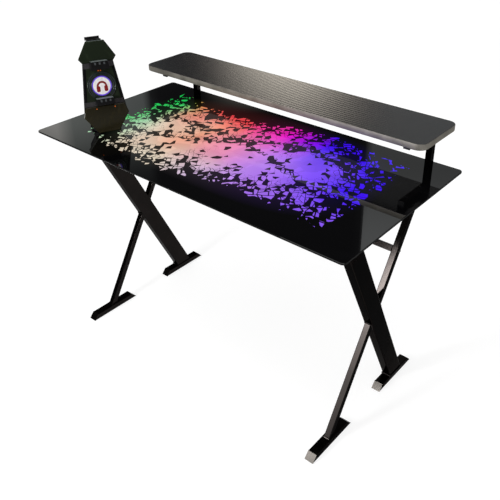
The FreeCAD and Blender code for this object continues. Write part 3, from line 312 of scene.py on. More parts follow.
def grain_effect():
    """Two colours clouded together, a roughness that wanders and a fine pebbled height."""
    group, given, result = effect(
        "surface grain",
        {"Vector": "Vector", "Broad": "Float", "Fine": "Float", "Dark": "Color", "Light": "Color",
         "Smooth": "Float", "Rough": "Float"},
        {"Color": "Color", "Roughness": "Float", "Height": "Float"})
    pebble = clouds(group, given["Vector"], given["Fine"], 2.0)
    spread = steps(group, clouds(group, given["Vector"], given["Broad"], 4.0), 0.32, 0.68)
    speck = sums(group, "MULTIPLY_ADD", pebble, 0.35, times(group, spread, 0.65))
    feed(result, {"Color": blend(group, speck, given["Dark"], given["Light"]),
                  "Roughness": between(group, speck, given["Smooth"], given["Rough"]), "Height": pebble})
    return group


DUST_FINENESS = 30.0


def smudge_effect():
    """Faint wiping marks and dust on a polished surface, as a roughness."""
    group, given, result = effect(
        "wiped polish", {"Vector": "Vector", "Scale": "Float", "Clean": "Float", "Marked": "Float"},
        {"Roughness": "Float", "Marks": "Float"})
    stretched = put(group, "Mapping", {"Vector": given["Vector"], "Scale": (1.0, 2.6, 1.6),
                                       "Rotation": (0.0, 0.0, 0.6)}).outputs[0]
    wipes = clouds(group, stretched, given["Scale"], 5.0, distortion=0.7)
    dust = put(group, "TexVoronoi", {"Vector": given["Vector"],
                                     "Scale": times(group, given["Scale"], DUST_FINENESS)})
    specks = sums(group, "LESS_THAN", dust.outputs["Distance"], 0.07)
    marks = sums(group, "MAXIMUM", steps(group, wipes, 0.48, 0.74), times(group, specks, 0.6))
    feed(result, {"Roughness": between(group, marks, given["Clean"], given["Marked"]), "Marks": marks})
    return group


# Runs of the light's colours along the print, from its left end at 0 to its right end at 1.
BACK_RUN = ((0.0, "green"), (0.07, "green"), (0.15, "amber"), (0.26, "red"), (0.41, "red"),
            (0.56, "magenta"), (0.70, "blue"), (1.0, "blue"))
MIDDLE_RUN = ((0.03, "green"), (0.12, "mint"), (0.20, "cream"), (0.32, "peach"), (0.50, "pink"),
              (0.62, "mauve"), (0.77, "violet"), (0.92, "blue"))
FRONT_RUN = ((0.04, "mint"), (0.20, "cream"), (0.36, "cream"), (0.50, "lilac"), (0.66, "mauve"),
             (0.82, "violet"), (0.96, "violet"))
RUNS_FRONT, RUNS_BACK = -0.22, 0.17
HAZE_REACH = (0.50, 0.27)


def hue_effect(settings):
    """The light's colours over the print, in runs along its back, middle and front, and where they haze."""
    group, given, result = effect("light colours", {"Vector": "Vector"},
                                  {"Color": "Color", "Field": "Float"})
    parts = parts_of(group, given["Vector"])
    sway = sums(group, "MULTIPLY_ADD", clouds(group, given["Vector"], 5.0, 1.0), 0.16, -0.08)
    along = ranged(group, sums(group, "ADD", parts[0], sway), LIGHT_LOW.x, LIGHT_HIGH.x)
    across = ranged(group, sums(group, "ADD", parts[1], sway), RUNS_FRONT, RUNS_BACK)
    front, middle, back = (named_ramp(group, along, settings, run)
                           for run in (FRONT_RUN, MIDDLE_RUN, BACK_RUN))
    fore = blend(group, steps(group, across, 0.0, 0.5), front, middle)
    reach = [sums(group, "POWER", sums(group, "ABSOLUTE", sums(group, "DIVIDE", parts[axis], half)), 3.0)
             for axis, half in enumerate(HAZE_REACH)]
    feed(result, {"Color": blend(group, steps(group, across, 0.5, 1.0), fore, back),
                  "Field": sums(group, "SUBTRACT", 1.0, sums(group, "ADD", *reach), clamp=True)})
    return group


EFFECTS = {}


def finish(name):
    """A new material; returns it with its tree, its shader and its object coordinates."""
    made = bpy.data.materials.new(name)
    made.use_nodes = True
    tree = made.node_tree
    return made, tree, tree.nodes["Principled BSDF"], put(tree, "TexCoord").outputs["Object"]


def deeper(tint, factor):
    """The same colour, darker or lighter."""
    return (tint[0] * factor, tint[1] * factor, tint[2] * factor, 1.0)


def grained(name, dark, light, broad=18.0, fine=900.0, smooth=0.35, rough=0.5, height=0.06,
            specular=0.5, metallic=0.0, edge_tint=1.0):
    """A coated, moulded or blackened surface: clouded colour, uneven gloss and a pebbled skin."""
    made, tree, shader, place = finish(name)
    skin = put(tree, "Group", {"Vector": place, "Broad": broad, "Fine": fine, "Dark": dark, "Light": light,
                               "Smooth": smooth, "Rough": rough}, node_tree=EFFECTS["grain"]).outputs
    bump = put(tree, "Bump", {"Height": skin["Height"], "Strength": height, "Distance": 0.4 * MM})
    feed(shader, {"Base Color": skin["Color"], "Roughness": skin["Roughness"], "Normal": bump.outputs[0],
                  "Specular IOR Level": specular, "Metallic": metallic,
                  "Specular Tint": (edge_tint, edge_tint, edge_tint, 1.0)})
    return made


def toned(name, tint, dark, light, **grain):
    """A grained surface between two depths of one colour."""
    return grained(name, deeper(tint, dark), deeper(tint, light), **grain)


def polished(name, base, scale=22.0, clean=0.10, marked=0.2, specular=0.12):
    """A polished surface with wiping marks."""
    made, tree, shader, place = finish(name)
    wiped = put(tree, "Group", {"Vector": place, "Scale": scale, "Clean": clean, "Marked": marked},
                node_tree=EFFECTS["smudge"]).outputs
    feed(shader, {"Base Color": blend(tree, wiped["Marks"], base, deeper(base, 1.6)),
                  "Roughness": wiped["Roughness"], "Specular IOR Level": specular})
    return made


def print_hues(tree):
    """The light's colours and their field, on a material's object coordinates."""
    return put(tree, "Group", {"Vector": put(tree, "TexCoord").outputs["Object"]},
               node_tree=EFFECTS["hue"]).outputs


def back_printed_glass(settings):
    """Black glass with ground edges and a faint haze of the light that leaks through its print."""
    made = polished("back_printed_glass", settings.glass, 3.0, 0.015, 0.05, specular=0.5)
    tree = made.node_tree
    shader = tree.nodes["Principled BSDF"]
    edge = sums(tree, "LESS_THAN", sums(tree, "ABSOLUTE", facing_up(tree)), 0.2)
    polish = shader.inputs["Roughness"].links[0].from_socket
    hues = print_hues(tree)
    feed(shader, {"Roughness": mixed(tree, edge, polish, 1.0), "Emission Strength": 0.042,
                  "Emission Color": blend(tree, hues["Field"], BLACK, hues["Color"])})
    return made


def lit_print_ink():
    """The light showing through the open parts of the print, under the same polish."""
    made, tree, shader, place = finish("lit_print_ink")
    patch = put(tree, "TexVoronoi", {"Vector": place, "Scale": 26.0}).outputs["Color"]
    level = between(tree, put(tree, "SeparateColor", {"Color": patch}).outputs[0], 0.82, 1.0)
    lit = put(tree, "HueSaturation", {"Color": print_hues(tree)["Color"], "Value": level}).outputs[0]
    feed(shader, {"Emission Color": lit, "Base Color": blend(tree, 0.9, lit, BLACK),
                  "Emission Strength": 0.95, "Roughness": 0.05})
    return made


def woven_film(settings):
    """Carbon-look film: a two-over-two twill pressed into dark grey vinyl, with painted sheen on its
    crowns, over-strands and broad bands and painted shade in its hollows, and a smooth sheet below.
    """
    made, tree, shader, place = finish("woven_film")
    parts = parts_of(tree, place)
    across = sums(tree, "DIVIDE", parts[0], settings.tow)
    along = sums(tree, "DIVIDE", parts[1], settings.tow_length)
    offset = sums(tree, "SUBTRACT", sums(tree, "FLOOR", across), sums(tree, "FLOOR", along))
    over = sums(tree, "LESS_THAN", sums(tree, "FLOORED_MODULO", offset, 4.0), 2.0)
    crown = mixed(tree, over, *(sums(tree, "SINE", times(tree, sums(tree, "FRACT", way), math.pi))
                                for way in (across, along)))
    run = sums(tree, "MULTIPLY_ADD", parts[1], -settings.tow / settings.tow_length, parts[0])
    wave = sums(tree, "SINE", times(tree, run, 2 * math.pi / settings.banding))
    band = sums(tree, "MULTIPLY_ADD", wave, 0.5, 0.5)
    # Painted sheen: the crowns of the over-strands and the broad bands are painted lighter, and the hollows
    # stay darker as painted shade.
    painted_sheen = times(tree, times(tree, crown, between(tree, over, 0.55, 1.0)), between(tree, band, 1.25, 0.75))
    cloud = between(tree, clouds(tree, place, 9.0, 3.0), 0.8, 1.15)
    tint = blend(tree, times(tree, painted_sheen, cloud), settings.weave_dark, settings.weave_painted_sheen)
    bump = put(tree, "Bump", {"Height": band, "Strength": 1.0, "Distance": settings.relief})
    under = sums(tree, "LESS_THAN", facing_up(tree), -0.5)
    feed(shader, {"Base Color": blend(tree, under, tint, settings.backing), "Normal": bump.outputs[0],
                  "Roughness": mixed(tree, under, between(tree, band, 0.17, 0.27), 0.2)})
    return made


def lit_surface(name, tint, strength, scale=120.0):
    """A lit plastic part, a little brighter where its lamp sits."""
    made, tree, shader, place = finish(name)
    cloud = clouds(tree, place, scale, 2.0)
    lit = blend(tree, steps(tree, cloud, 0.3, 0.7), deeper(tint, 0.86), tint)
    feed(shader, {"Base Color": blend(tree, 0.75, lit, BLACK), "Emission Color": lit,
                  "Roughness": between(tree, cloud, 0.2, 0.32), "Emission Strength": strength})
    return made


def patterned(name, first, second, scale, offset, roughness):
    """Small laid-out blocks, as on a circuit board or a strip of lamps."""
    made, tree, shader, place = finish(name)
    brick = put(tree, "TexBrick", {"Vector": place, "Scale": scale, "Color1": first, "Color2": second,
                                   "Mortar": deeper(first, 0.6), "Mortar Size": 0.03},
                offset=offset).outputs
    feed(shader, {"Base Color": brick["Color"],
                  "Roughness": between(tree, brick["Fac"], roughness, roughness + 0.2)})
    return made


def box_of(points):
    """The lowest and the highest corner of some points."""
    return Vector(map(min, *points)), Vector(map(max, *points))


def tower_stand(sign):
    """From the tower's own upright frame to the desk's."""
    return (Matrix.Translation(sign.tower) @ Matrix.Rotation(sign.turn, 4, "Z")
            @ Matrix.Rotation(-sign.lean, 4, "X"))


def places_on_tower(name, sign):
    """The points of a CAD node in the tower's own frame."""
    home = tower_stand(sign).inverted()
    return [home @ point.co for point in NODES[name].data.vertices]


def box_on_tower(name, sign):
    """The box of a CAD node in the tower's own frame."""
    return box_of(places_on_tower(name, sign))


def upright_spots(tree, sign):
    """Where a point of a surface lies in the tower's own frame, as three values."""
    place = put(tree, "TexCoord").outputs["Object"]
    upright = put(tree, "Mapping", {"Vector": place, "Location": sign.tower,
                                    "Rotation": (-sign.lean, 0.0, sign.turn)}, vector_type="TEXTURE")
    return parts_of(tree, upright.outputs[0])


def overlaid(made, mask, tint):
    """Lay a colour over a finish's own where a mask is 1."""
    tree = made.node_tree
    base = tree.nodes["Principled BSDF"].inputs["Base Color"]
    tree.links.new(blend(tree, mask, base.links[0].from_socket, tint), base)
    return made


def bordered(made, sign, name, width, tint):
    """Give a tapering plate of the tower a border down both of its sides."""
    tree = made.node_tree
    places = places_on_tower(name, sign)
    low, high = box_of(places)
    foot = max(abs(place.x) for place in places if place.z < low.z + MM)
    head = max(abs(place.x) for place in places if place.z > high.z - MM)
    spots = upright_spots(tree, sign)
    inside = ranged(tree, spots[2], low.z, high.z, foot - width, head - width)
    return overlaid(made, sums(tree, "GREATER_THAN", sums(tree, "ABSOLUTE", spots[0]), inside), tint)


def ledged(made, sign, high, pad, front=None, tooth=None):
    """Give a finish a painted highlight, pale above a height of the tower, and paler teeth in front of a
    depth.
    """
    tree = made.node_tree
    spots = upright_spots(tree, sign)
    if front is not None:
        overlaid(made, sums(tree, "LESS_THAN", spots[1], front), tooth)
    return overlaid(made, sums(tree, "GREATER_THAN", spots[2], high), pad)


def dress_node(name, material):
    """Give a finish to one CAD node."""
    for place in NODES[name].material_slots:
        place.material = material


def dress(slot, material):
    """Give a finish to every CAD node of a material slot."""
    named = [row["node"] for row in frame["record"]["subparts"] if row["material_slot"] == slot]
    if not named:
        raise ValueError("no CAD node has the slot " + slot)
    for name in named:
        dress_node(name, material)


# Mesh building

def add_piece(name, work, material, body, crease=math.radians(35)):
    """Keep a bmesh, its faces turned outwards, as a piece on a body, smooth but for its creases."""
    bmesh.ops.recalc_face_normals(work, faces=work.faces)
    mesh = bpy.data.meshes.new(name)
    work.to_mesh(mesh)
    work.free()
    mesh.materials.append(material)
    mesh.shade_smooth()
    mesh.set_sharp_from_angle(angle=crease)
    piece = bpy.data.objects.new(name, mesh)
    bpy.context.scene.collection.objects.link(piece)
    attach(piece, body)
    return piece


def edges_of(points):
    """The edges at some points, each once."""
    return list({edge: None for point in points for edge in point.link_edges})


def ring_points(ring):
    """The points of some edges, each once."""
    return list({point: None for edge in ring for point in edge.verts})


def drawn_on(work, ring, matrix):
    """Extrude a ring of edges and move the new ring by a matrix; returns the new ring."""
    grown = bmesh.ops.extrude_edge_only(work, edges=ring)["geom"]
    points = [part for part in grown if isinstance(part, bmesh.types.BMVert)]
    fresh = set(points)
    bmesh.ops.transform(work, matrix=matrix, verts=points)
    return [part for part in grown if isinstance(part, bmesh.types.BMEdge) and set(part.verts) <= fresh]


def spun_section(work, points, start, angle, turns):
    """A closed section of (radius, depth) points spun about the tower's own depth axis."""
    corners = [work.verts.new((radius, depth, 0.0)) for radius, depth in points]
    edges = [work.edges.new(pair) for pair in zip(corners, corners[1:] + corners[:1])]
    face = work.faces.new(corners)
    bmesh.ops.rotate(work, cent=(0, 0, 0), matrix=Matrix.Rotation(-start, 3, "Y"), verts=corners)
    full = angle > 2 * math.pi - MERGE
    bmesh.ops.spin(work, geom=edges if full else corners + edges + [face], cent=(0, 0, 0), axis=(0, -1, 0),
                   angle=angle, steps=turns, use_merge=full, use_duplicate=False)
    if full:
        bmesh.ops.delete(work, geom=[face], context="FACES_ONLY")


def merged_copy(name):
    """A bmesh of a CAD node's mesh with its loose triangles joined."""
    work = bmesh.new()
    work.from_mesh(NODES[name].data)
    bmesh.ops.remove_doubles(work, verts=work.verts, dist=MERGE)
    return work


def loose_boxes(name):
    """The box of each separate solid of a CAD node, in the order of its mesh."""
    work = merged_copy(name)
    boxes = []
    for first in work.verts:
        if first.tag:
            continue
        first.tag = True
        front, found = [first], []
        while front:
            point = front.pop()
            found.append(point.co)
            for edge in point.link_edges:
                other = edge.other_vert(point)
                if not other.tag:
                    other.tag = True
                    front.append(other)
        boxes.append(box_of(found))
    work.free()
    return boxes


# A screw's head: shares of its radius and its height, from the rim to the flat round the socket.
HEAD_PROFILE = ((1.0, 0.0), (1.0, 0.42), (0.95, 0.66), (0.84, 0.86), (0.7, 0.97), (0.62, 1.0))
TIP_WIDTH, TIP_HEIGHT = 0.8, 0.25
SCREW_SIDES = 24
HEX_SIDES = 6


def socket_screw(work, head_radius, head_height, shank_radius, length, joints, matrix):
    """A domed screw with a hexagon socket, its head up from the origin of the matrix."""
    now_radius, now_level = shank_radius * TIP_WIDTH, -length
    everything = list(bmesh.ops.create_circle(work, segments=SCREW_SIDES, radius=now_radius,
                                              matrix=Matrix.Translation((0, 0, now_level)))["verts"])
    edges = edges_of(everything)
    bmesh.ops.contextual_create(work, geom=edges)

    def grow(radius, level):
        nonlocal edges, now_radius, now_level
        wider = radius / now_radius
        lift, sink = Matrix.Translation((0, 0, level)), Matrix.Translation((0, 0, -now_level))
        edges = drawn_on(work, edges, lift @ Matrix.Diagonal((wider, wider, 1, 1)) @ sink)
        everything.extend(ring_points(edges))
        now_radius, now_level = radius, level

    grow(shank_radius, shank_radius * TIP_HEIGHT - length)
    grow(shank_radius, 0.0)
    for wide, high in HEAD_PROFILE:
        grow(head_radius * wide, head_height * high)
    flat = head_radius * joints.socket
    grow(flat, head_height)
    half_side = math.pi / HEX_SIDES
    for point in ring_points(edges):
        angle = math.atan2(point.co.y, point.co.x) % (2 * half_side) - half_side
        point.co.xy *= 1 / math.cos(angle)
    grow(flat, head_height * (1 - joints.socket_depth))
    bmesh.ops.contextual_create(work, geom=edges)
    bmesh.ops.transform(work, matrix=matrix, verts=everything)


BEAD_SIDES = 8


def weld_bead(work, corners, normal, joints):
    """A rippled bead laid round a closed outline of corners, in the plane of a normal."""
    stops = []
    for here, there in zip(corners, corners[1:] + corners[:1]):
        count = max(3, round((there - here).length / (joints.ripple_pitch / 2)))
        stops += [here.lerp(there, step / count) for step in range(count)]
    total = len(stops)
    half_turn = Matrix.Rotation(math.pi / BEAD_SIDES, 4, "Z")

    def station(number):
        ahead = (stops[(number + 1) % total] - stops[number - 1]).normalized()
        swell = joints.bead * (1 + joints.ripple * (1 if number % 2 else -1))
        pose = Matrix((ahead.cross(normal), normal, ahead)).transposed().to_4x4() @ half_turn
        return Matrix.Translation(stops[number]) @ pose @ Matrix.Scale(swell, 4)

    before = station(0)
    start = edges_of(bmesh.ops.create_circle(work, segments=BEAD_SIDES, radius=1.0, matrix=before)["verts"])
    ring = start
    for number in range(1, total):
        now = station(number)
        ring = drawn_on(work, ring, now @ before.inverted())
        before = now
    bmesh.ops.bridge_loops(work, edges=ring + start)


END_REACH = 0.1 * MM
BUTT_REACH = 0.4 * MM


def level_outline(name, level):
    """The corners of a tube's end at a height, in order round it."""
    low, high = box_of([point.co for point in NODES[name].data.vertices
                        if abs(point.co.z - level) < END_REACH])
    return [Vector((low.x, low.y, level)), Vector((high.x, low.y, level)),
            Vector((high.x, high.y, level)), Vector((low.x, high.y, level))]


def butt_outline(name, foot, head):
    """The corners of a tube's end where it meets the face that runs from foot to head, and its normal."""
    way = (head - foot).normalized()
    normal = Vector((0, way.z, -way.y))
    points = [point.co for point in NODES[name].data.vertices
              if abs((point.co - foot).dot(normal)) < BUTT_REACH]
    runs = [(point - foot).dot(way) for point in points]
    left, right = min(point.x for point in points), max(point.x for point in points)
    corners = []
    for x, run in ((left, min(runs)), (right, min(runs)), (right, max(runs)), (left, max(runs))):
        on_face = foot + way * run
        corners.append(Vector((x, on_face.y, on_face.z)))
    return corners, normal


# One operator for each piece or group of like pieces

class DESK_OT_mix_effects(bpy.types.Operator):
    """Build the shared shader groups"""
    bl_idname = "desk.mix_effects"
    bl_label = "Shared effects"

    def execute(self, context):
        EFFECTS["grain"] = grain_effect()
        EFFECTS["smudge"] = smudge_effect()
        EFFECTS["hue"] = hue_effect(context.scene.desk_print)
        return {"FINISHED"}


class DESK_OT_coat_frame(bpy.types.Operator):
    """Coat the tubes, feet, plugs, caps and pads of the frame"""
    bl_idname = "desk.coat_frame"
    bl_label = "Frame"

    def execute(self, context):
        finishes = context.scene.desk_finish
        dress("frame_black", grained("powder_coat", finishes.coat_dark, finishes.coat_light, broad=14.0,
                                     fine=700.0, smooth=0.11, rough=0.15, height=0.008, metallic=0.97,
                                     edge_tint=0.42))
        dress("steel", toned("bare_steel", finishes.steel, 0.7, 1.0, broad=60.0, fine=1500.0,
                             smooth=0.3, rough=0.45, metallic=1.0))
        dress("black_plastic", toned("moulded_plastic", finishes.plastic, 1.0, 1.7, broad=40.0, fine=1600.0,
                                     smooth=0.42, rough=0.58, height=0.1, specular=0.35))
        dress_node("foot_caps", toned("glossy_cap", finishes.cap, 0.85, 1.0, broad=30.0, fine=900.0,
                                      smooth=0.16, rough=0.22, height=0.01, metallic=0.95, edge_tint=0.45))
        dress("rubber", toned("rubber", finishes.rubber, 1.0, 1.8, broad=80.0, fine=1200.0,
                              smooth=0.7, rough=0.88, height=0.15, specular=0.25))
        return {"FINISHED"}


class DESK_OT_polish_glass(bpy.types.Operator):
    """Finish the glass top"""
    bl_idname = "desk.polish_glass"
    bl_label = "Glass top"

    def execute(self, context):
        dress("glass_black", back_printed_glass(context.scene.desk_finish))
        return {"FINISHED"}


# Dark streams through the print: the swing, rate and start of each one's wave, and half its width.
STREAMS = ((0.44, 2.2, 0.7, 0.075), (-0.38, 2.6, -0.5, 0.065))
STREAM_DEPTH, CLUMP_DEPTH, CLUMP_SCALE = 0.6, 0.34, (7.0, 3.2)
# Strength and curve of the thinning to the front and back of the print, and to its ends.
SIDES_THIN, ENDS_THIN = (0.82, 2.2), (0.78, 3.0)
# Share of tiles kept where the print is dense, what is lost of it at the thinnest, and the curve between.
KEPT, LOST, LOSS_CURVE = 0.92, 0.62, 1.2
SHRINK_SPREAD = (0.5, 1.2)
# How far the tiles of each lot shrink, from the dense lot, whose tiles stay whole, to the thinnest.
PRINT_GAPS = (0.0, 0.35 * MM, 1.0 * MM, 1.7 * MM, 2.5 * MM, 3.2 * MM, 3.9 * MM)
PRINT_RIM = 0.98
LONGEST_SIDE = 3
SWAY_TURNS = 2.4


def thinning(u, v):
    """0 in the dense middle of the print to 1 at its thin rim, with dark streams winding through."""
    streams = sum(STREAM_DEPTH * math.exp(-((v - swing * math.sin(rate * u + start)) / half) ** 2)
                  for swing, rate, start, half in STREAMS)
    clumps = CLUMP_DEPTH * noise.noise(Vector((CLUMP_SCALE[0] * u, CLUMP_SCALE[1] * v, 0.5)))
    sides, ends = (depth * abs(place) ** curve
                   for place, (depth, curve) in ((v, SIDES_THIN), (u, ENDS_THIN)))
    return min(1.0, max(0.0, sides + ends + streams + clumps))


class DESK_OT_lay_print(bpy.types.Operator):
    """Lay the lit mosaic in the glass top"""
    bl_idname = "desk.lay_print"
    bl_label = "Lit print"

    def execute(self, context):
        settings = context.scene.desk_print
        draw = random.Random(settings.seed)
        work = bmesh.new()
        span = math.hypot(settings.width, settings.depth) + 4 * settings.tile
        count = round(span / settings.tile)
        bmesh.ops.create_grid(work, x_segments=count, y_segments=count, size=span / 2)
        slant = Matrix.Rotation(settings.slant, 3, "Z")
        bmesh.ops.rotate(work, cent=(0, 0, 0), matrix=slant, verts=work.verts)
        stray = settings.looseness * settings.tile
        for point in work.verts:
            point.co.x += draw.uniform(-stray, stray)
            point.co.y += draw.uniform(-stray, stray)
        joined = []
        for edge in work.edges:
            pair = edge.link_faces
            if len(pair) == 2 and not any(face.tag for face in pair) and draw.random() < settings.doubles:
                joined.append(edge)
                for face in pair:
                    face.tag = True
        bmesh.ops.dissolve_edges(work, edges=joined, use_verts=False)
        cut = [face for face in work.faces if len(face.verts) == 4 and draw.random() < settings.halves]
        bmesh.ops.triangulate(work, faces=cut)
        lots, spare = [[] for _ in PRINT_GAPS], []
        for face in work.faces:
            middle = face.calc_center_median()
            u, v = 2 * middle.x / settings.width, 2 * middle.y / settings.depth
            thin = thinning(u, v)
            if max(abs(u), abs(v)) > PRINT_RIM or draw.random() > KEPT - LOST * thin ** LOSS_CURVE:
                spare.append(face)
                continue
            step = min(len(lots) - 1, int(draw.uniform(*SHRINK_SPREAD) * thin * len(lots)))
            lots[step].append(face)
        for lot, gap in list(zip(lots, PRINT_GAPS))[1:]:
            spare += bmesh.ops.inset_individual(work, faces=lot, thickness=gap,
                                                use_even_offset=True)["faces"]
        gone = set(spare)
        spare += [face for face in work.faces if face not in gone
                  and max(edge.calc_length() for edge in face.edges) > LONGEST_SIDE * settings.tile]
        bmesh.ops.delete(work, geom=spare, context="FACES")
        middle_y = (LIGHT_LOW.y + LIGHT_HIGH.y) / 2 - settings.forward
        for point in work.verts:
            wave = math.sin(SWAY_TURNS * math.pi * point.co.x / settings.width)
            point.co.y += middle_y + settings.sway * wave
            point.co.z = GLASS_TOP
        grown = bmesh.ops.extrude_face_region(work, geom=list(work.faces), use_keep_orig=True)["geom"]
        raised = [part for part in grown if isinstance(part, bmesh.types.BMVert)]
        bmesh.ops.translate(work, vec=(0.0, 0.0, settings.film), verts=raised)
        add_piece("lit_print", work, lit_print_ink(), "desk")
        return {"FINISHED"}


class DESK_OT_weld_joints(bpy.types.Operator):
    """Lay weld beads where the legs meet the feet, the rails and each other"""
    bl_idname = "desk.weld_joints"
    bl_label = "Weld beads"

    def execute(self, context):
        joints = context.scene.desk_joint
        up = Vector((0, 0, 1))
        work = bmesh.new()
        for side in ("left", "right"):
            wide, lower, upper = "wide_leg_" + side, "thin_leg_lower_" + side, "thin_leg_upper_" + side
            low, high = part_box(wide)[0].z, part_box(wide)[1].z
            for name, level in ((wide, low), (wide, high), (lower, low), (upper, high)):
                weld_bead(work, level_outline(name, level), up, joints)
            foot, head = level_outline(wide, low), level_outline(wide, high)
            for name, corner in ((lower, 0), (upper, 3)):
                corners, normal = butt_outline(name, foot[corner], head[corner])
                weld_bead(work, corners, normal, joints)
        finishes = context.scene.desk_finish
        coat = grained("coated_weld", finishes.coat_dark, finishes.coat_light, broad=30.0, fine=900.0,
                       smooth=0.18, rough=0.28, height=0.08, metallic=0.9, edge_tint=0.5)
        add_piece("weld_beads", work, coat, "desk", crease=math.radians(30))
        return {"FINISHED"}


# Screw nodes: where the head points (None is outward to the side), its height and the shank's radius.
SCREWS = (
    ("frame_bolts", None, 3.3 * MM, 3.0 * MM),
    ("post_bolts", (0, 1, 0), 2.8 * MM, 2.5 * MM),
    ("pan_screws", (0, 0, 1), 1.6 * MM, 1.5 * MM),
    ("control_screws", (0, 0, -1), 1.8 * MM, 1.5 * MM),
    ("shelf_screws", (0, 0, -1), 2.5 * MM, 2.0 * MM),
)


class DESK_OT_fit_screws(bpy.types.Operator):
    """Fit bolts and screws with hexagon sockets"""
    bl_idname = "desk.fit_screws"
    bl_label = "Bolts and screws"

    def execute(self, context):
        oxide = toned("blackened_steel", context.scene.desk_finish.oxide, 0.6, 1.0, broad=90.0, fine=2200.0,
                      smooth=0.28, rough=0.42, height=0.04)
        dress("bolt_black", oxide)
        for name, way, head_height, shank in SCREWS:
            work = bmesh.new()
            for low, high in loose_boxes(name):
                spread = high - low
                points = Vector(way) if way else Vector((math.copysign(1, low.x), 0, 0))
                along = max(range(3), key=lambda axis: abs(points[axis]))
                head = max(spread[axis] for axis in range(3) if axis != along) / 2
                seat = (low + high) / 2 + points * (spread[along] / 2 - head_height)
                matrix = Matrix.Translation(seat) @ points.to_track_quat("Z", "Y").to_matrix().to_4x4()
                socket_screw(work, head, head_height, shank, spread[along] - head_height,
                             context.scene.desk_joint, matrix)
            piece = add_piece("socket_" + name, work, oxide, "desk")
            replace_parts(piece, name)
        return {"FINISHED"}


LEVEL = 0.01 * MM


class DESK_OT_finish_shelf(bpy.types.Operator):
    """Finish the monitor shelf's film and edge band"""
    bl_idname = "desk.finish_shelf"
    bl_label = "Shelf"

    def execute(self, context):
        finishes = context.scene.desk_finish
        dress("laminate", woven_film(finishes))
        satin = toned("edge_band", finishes.band, 0.6, 1.0, broad=25.0, fine=1100.0,
                      smooth=0.46, rough=0.56, height=0.02, metallic=0.9, edge_tint=0.3)
        dress("edge_band", satin)
        low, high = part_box("shelf_edge_band")
        middle = (low + high) / 2
        work = merged_copy("shelf_edge_band")
        bmesh.ops.dissolve_limit(work, angle_limit=math.radians(1), verts=work.verts, edges=work.edges)
        rims = []
        for edge in work.edges:
            heights = [point.co.z for point in edge.verts]
            outward = any(abs(face.normal.z) < 0.5
                          and face.normal.dot(face.calc_center_median() - middle) > 0
                          for face in edge.link_faces)
            if outward and max(heights) - min(heights) < LEVEL:
                rims.append(edge)
        bmesh.ops.bevel(work, geom=rims, offset=context.scene.desk_joint.rim, affect="EDGES", segments=4,
                        profile=0.5, material=-1)
        piece = add_piece("rounded_band", work, satin, "desk", crease=math.radians(15))
        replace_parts(piece, "shelf_edge_band")
        return {"FINISHED"}


class DESK_OT_finish_light_unit(bpy.types.Operator):
    """Finish the light pan, opal sheet, strips and the control box"""
    bl_idname = "desk.finish_light_unit"
    bl_label = "Light unit"

    def execute(self, context):
        finishes = context.scene.desk_finish
        dress("pan_white", toned("pan_coat", finishes.pan, 0.86, 1.0, broad=8.0, fine=500.0,
                                 smooth=0.4, rough=0.55, height=0.05))
        dress("diffuser", toned("opal_sheet", finishes.opal, 0.92, 1.0, broad=6.0, fine=300.0,
                                smooth=0.35, rough=0.45, height=0.02))
        dress("led", patterned("lamp_strip", shade(238, 232, 206), shade(228, 190, 92), 60.0, 0.0, 0.3))
        dress("board", patterned("circuit_board", shade(14, 74, 40), shade(20, 92, 50), 140.0, 0.5, 0.35))
        dress("pale_plastic", toned("pale_plastic", finishes.pale, 0.8, 1.0, broad=70.0, fine=1800.0,
                                    smooth=0.4, rough=0.52, height=0.06))
        return {"FINISHED"}


class DESK_OT_finish_tower(bpy.types.Operator):
    """Finish the headset tower's plates, column, cradles and lamps"""
    bl_idname = "desk.finish_tower"
    bl_label = "Headset tower"

    def execute(self, context):
        finishes = context.scene.desk_finish
        sign = context.scene.desk_sign
        skin = 0.3 * MM
        dress("tower_plate", polished("polished_plate", finishes.tower_plate))
        dress("tower_shell", toned("tower_shell", finishes.tower_shell, 1.0, 1.7, broad=45.0, fine=1400.0,
                                   smooth=0.26, rough=0.4, height=0.06, specular=0.4))
        dress("tower_band", toned("tower_band", finishes.tower_band, 0.6, 1.0, broad=50.0, fine=1000.0,
                                  smooth=0.4, rough=0.55, height=0.2))
        # The tops of the cradles and of the head are painted pale as a painted highlight.
        for name in ("upper_cradle", "lower_cradle"):
            low, high = box_on_tower(name, sign)
            plain = toned(name + "_plastic", finishes.tower_shell, 1.0, 1.5, broad=60.0, fine=1500.0,
                          smooth=0.3, rough=0.42, height=0.05, specular=0.15)
            dress_node(name, ledged(plain, sign, high.z - skin, finishes.pad, low.y + skin, finishes.tooth))
        panel = polished("panel_plate", finishes.tower_plate)
        dress_node("tower_panel", bordered(panel, sign, "tower_panel", sign.border, finishes.tower_shell))
        dress_node("tower_chin", polished("chin_plate", finishes.tower_chin))
        ledge = box_on_tower("tower_head", sign)[1].z - skin
        head = polished("head_plate", finishes.tower_plate)
        dress_node("tower_head", ledged(head, sign, ledge, finishes.pad))
        dress("lens", lit_surface("lit_lens", finishes.lens, 0.62))
        dress("glow", lit_surface("lit_ring", finishes.glow, 1.0))
        dress("amber", lit_surface("amber_lamp", finishes.amber, 0.55))
        return {"FINISHED"}


# Steps over a ridge's section, round the full ring, round the notched ring and round the sign's headband.
RIDGE_STEPS, RING_STEPS, NOTCHED_STEPS, ARCH_STEPS = 8, 96, 80, 24
# The headset sign: an ear cup's drop and rounding as shares of its size, and the sign's own drop.
CUP_DROP, CUP_ROUNDING, SIGN_DROP = 0.42, 0.38, 0.1


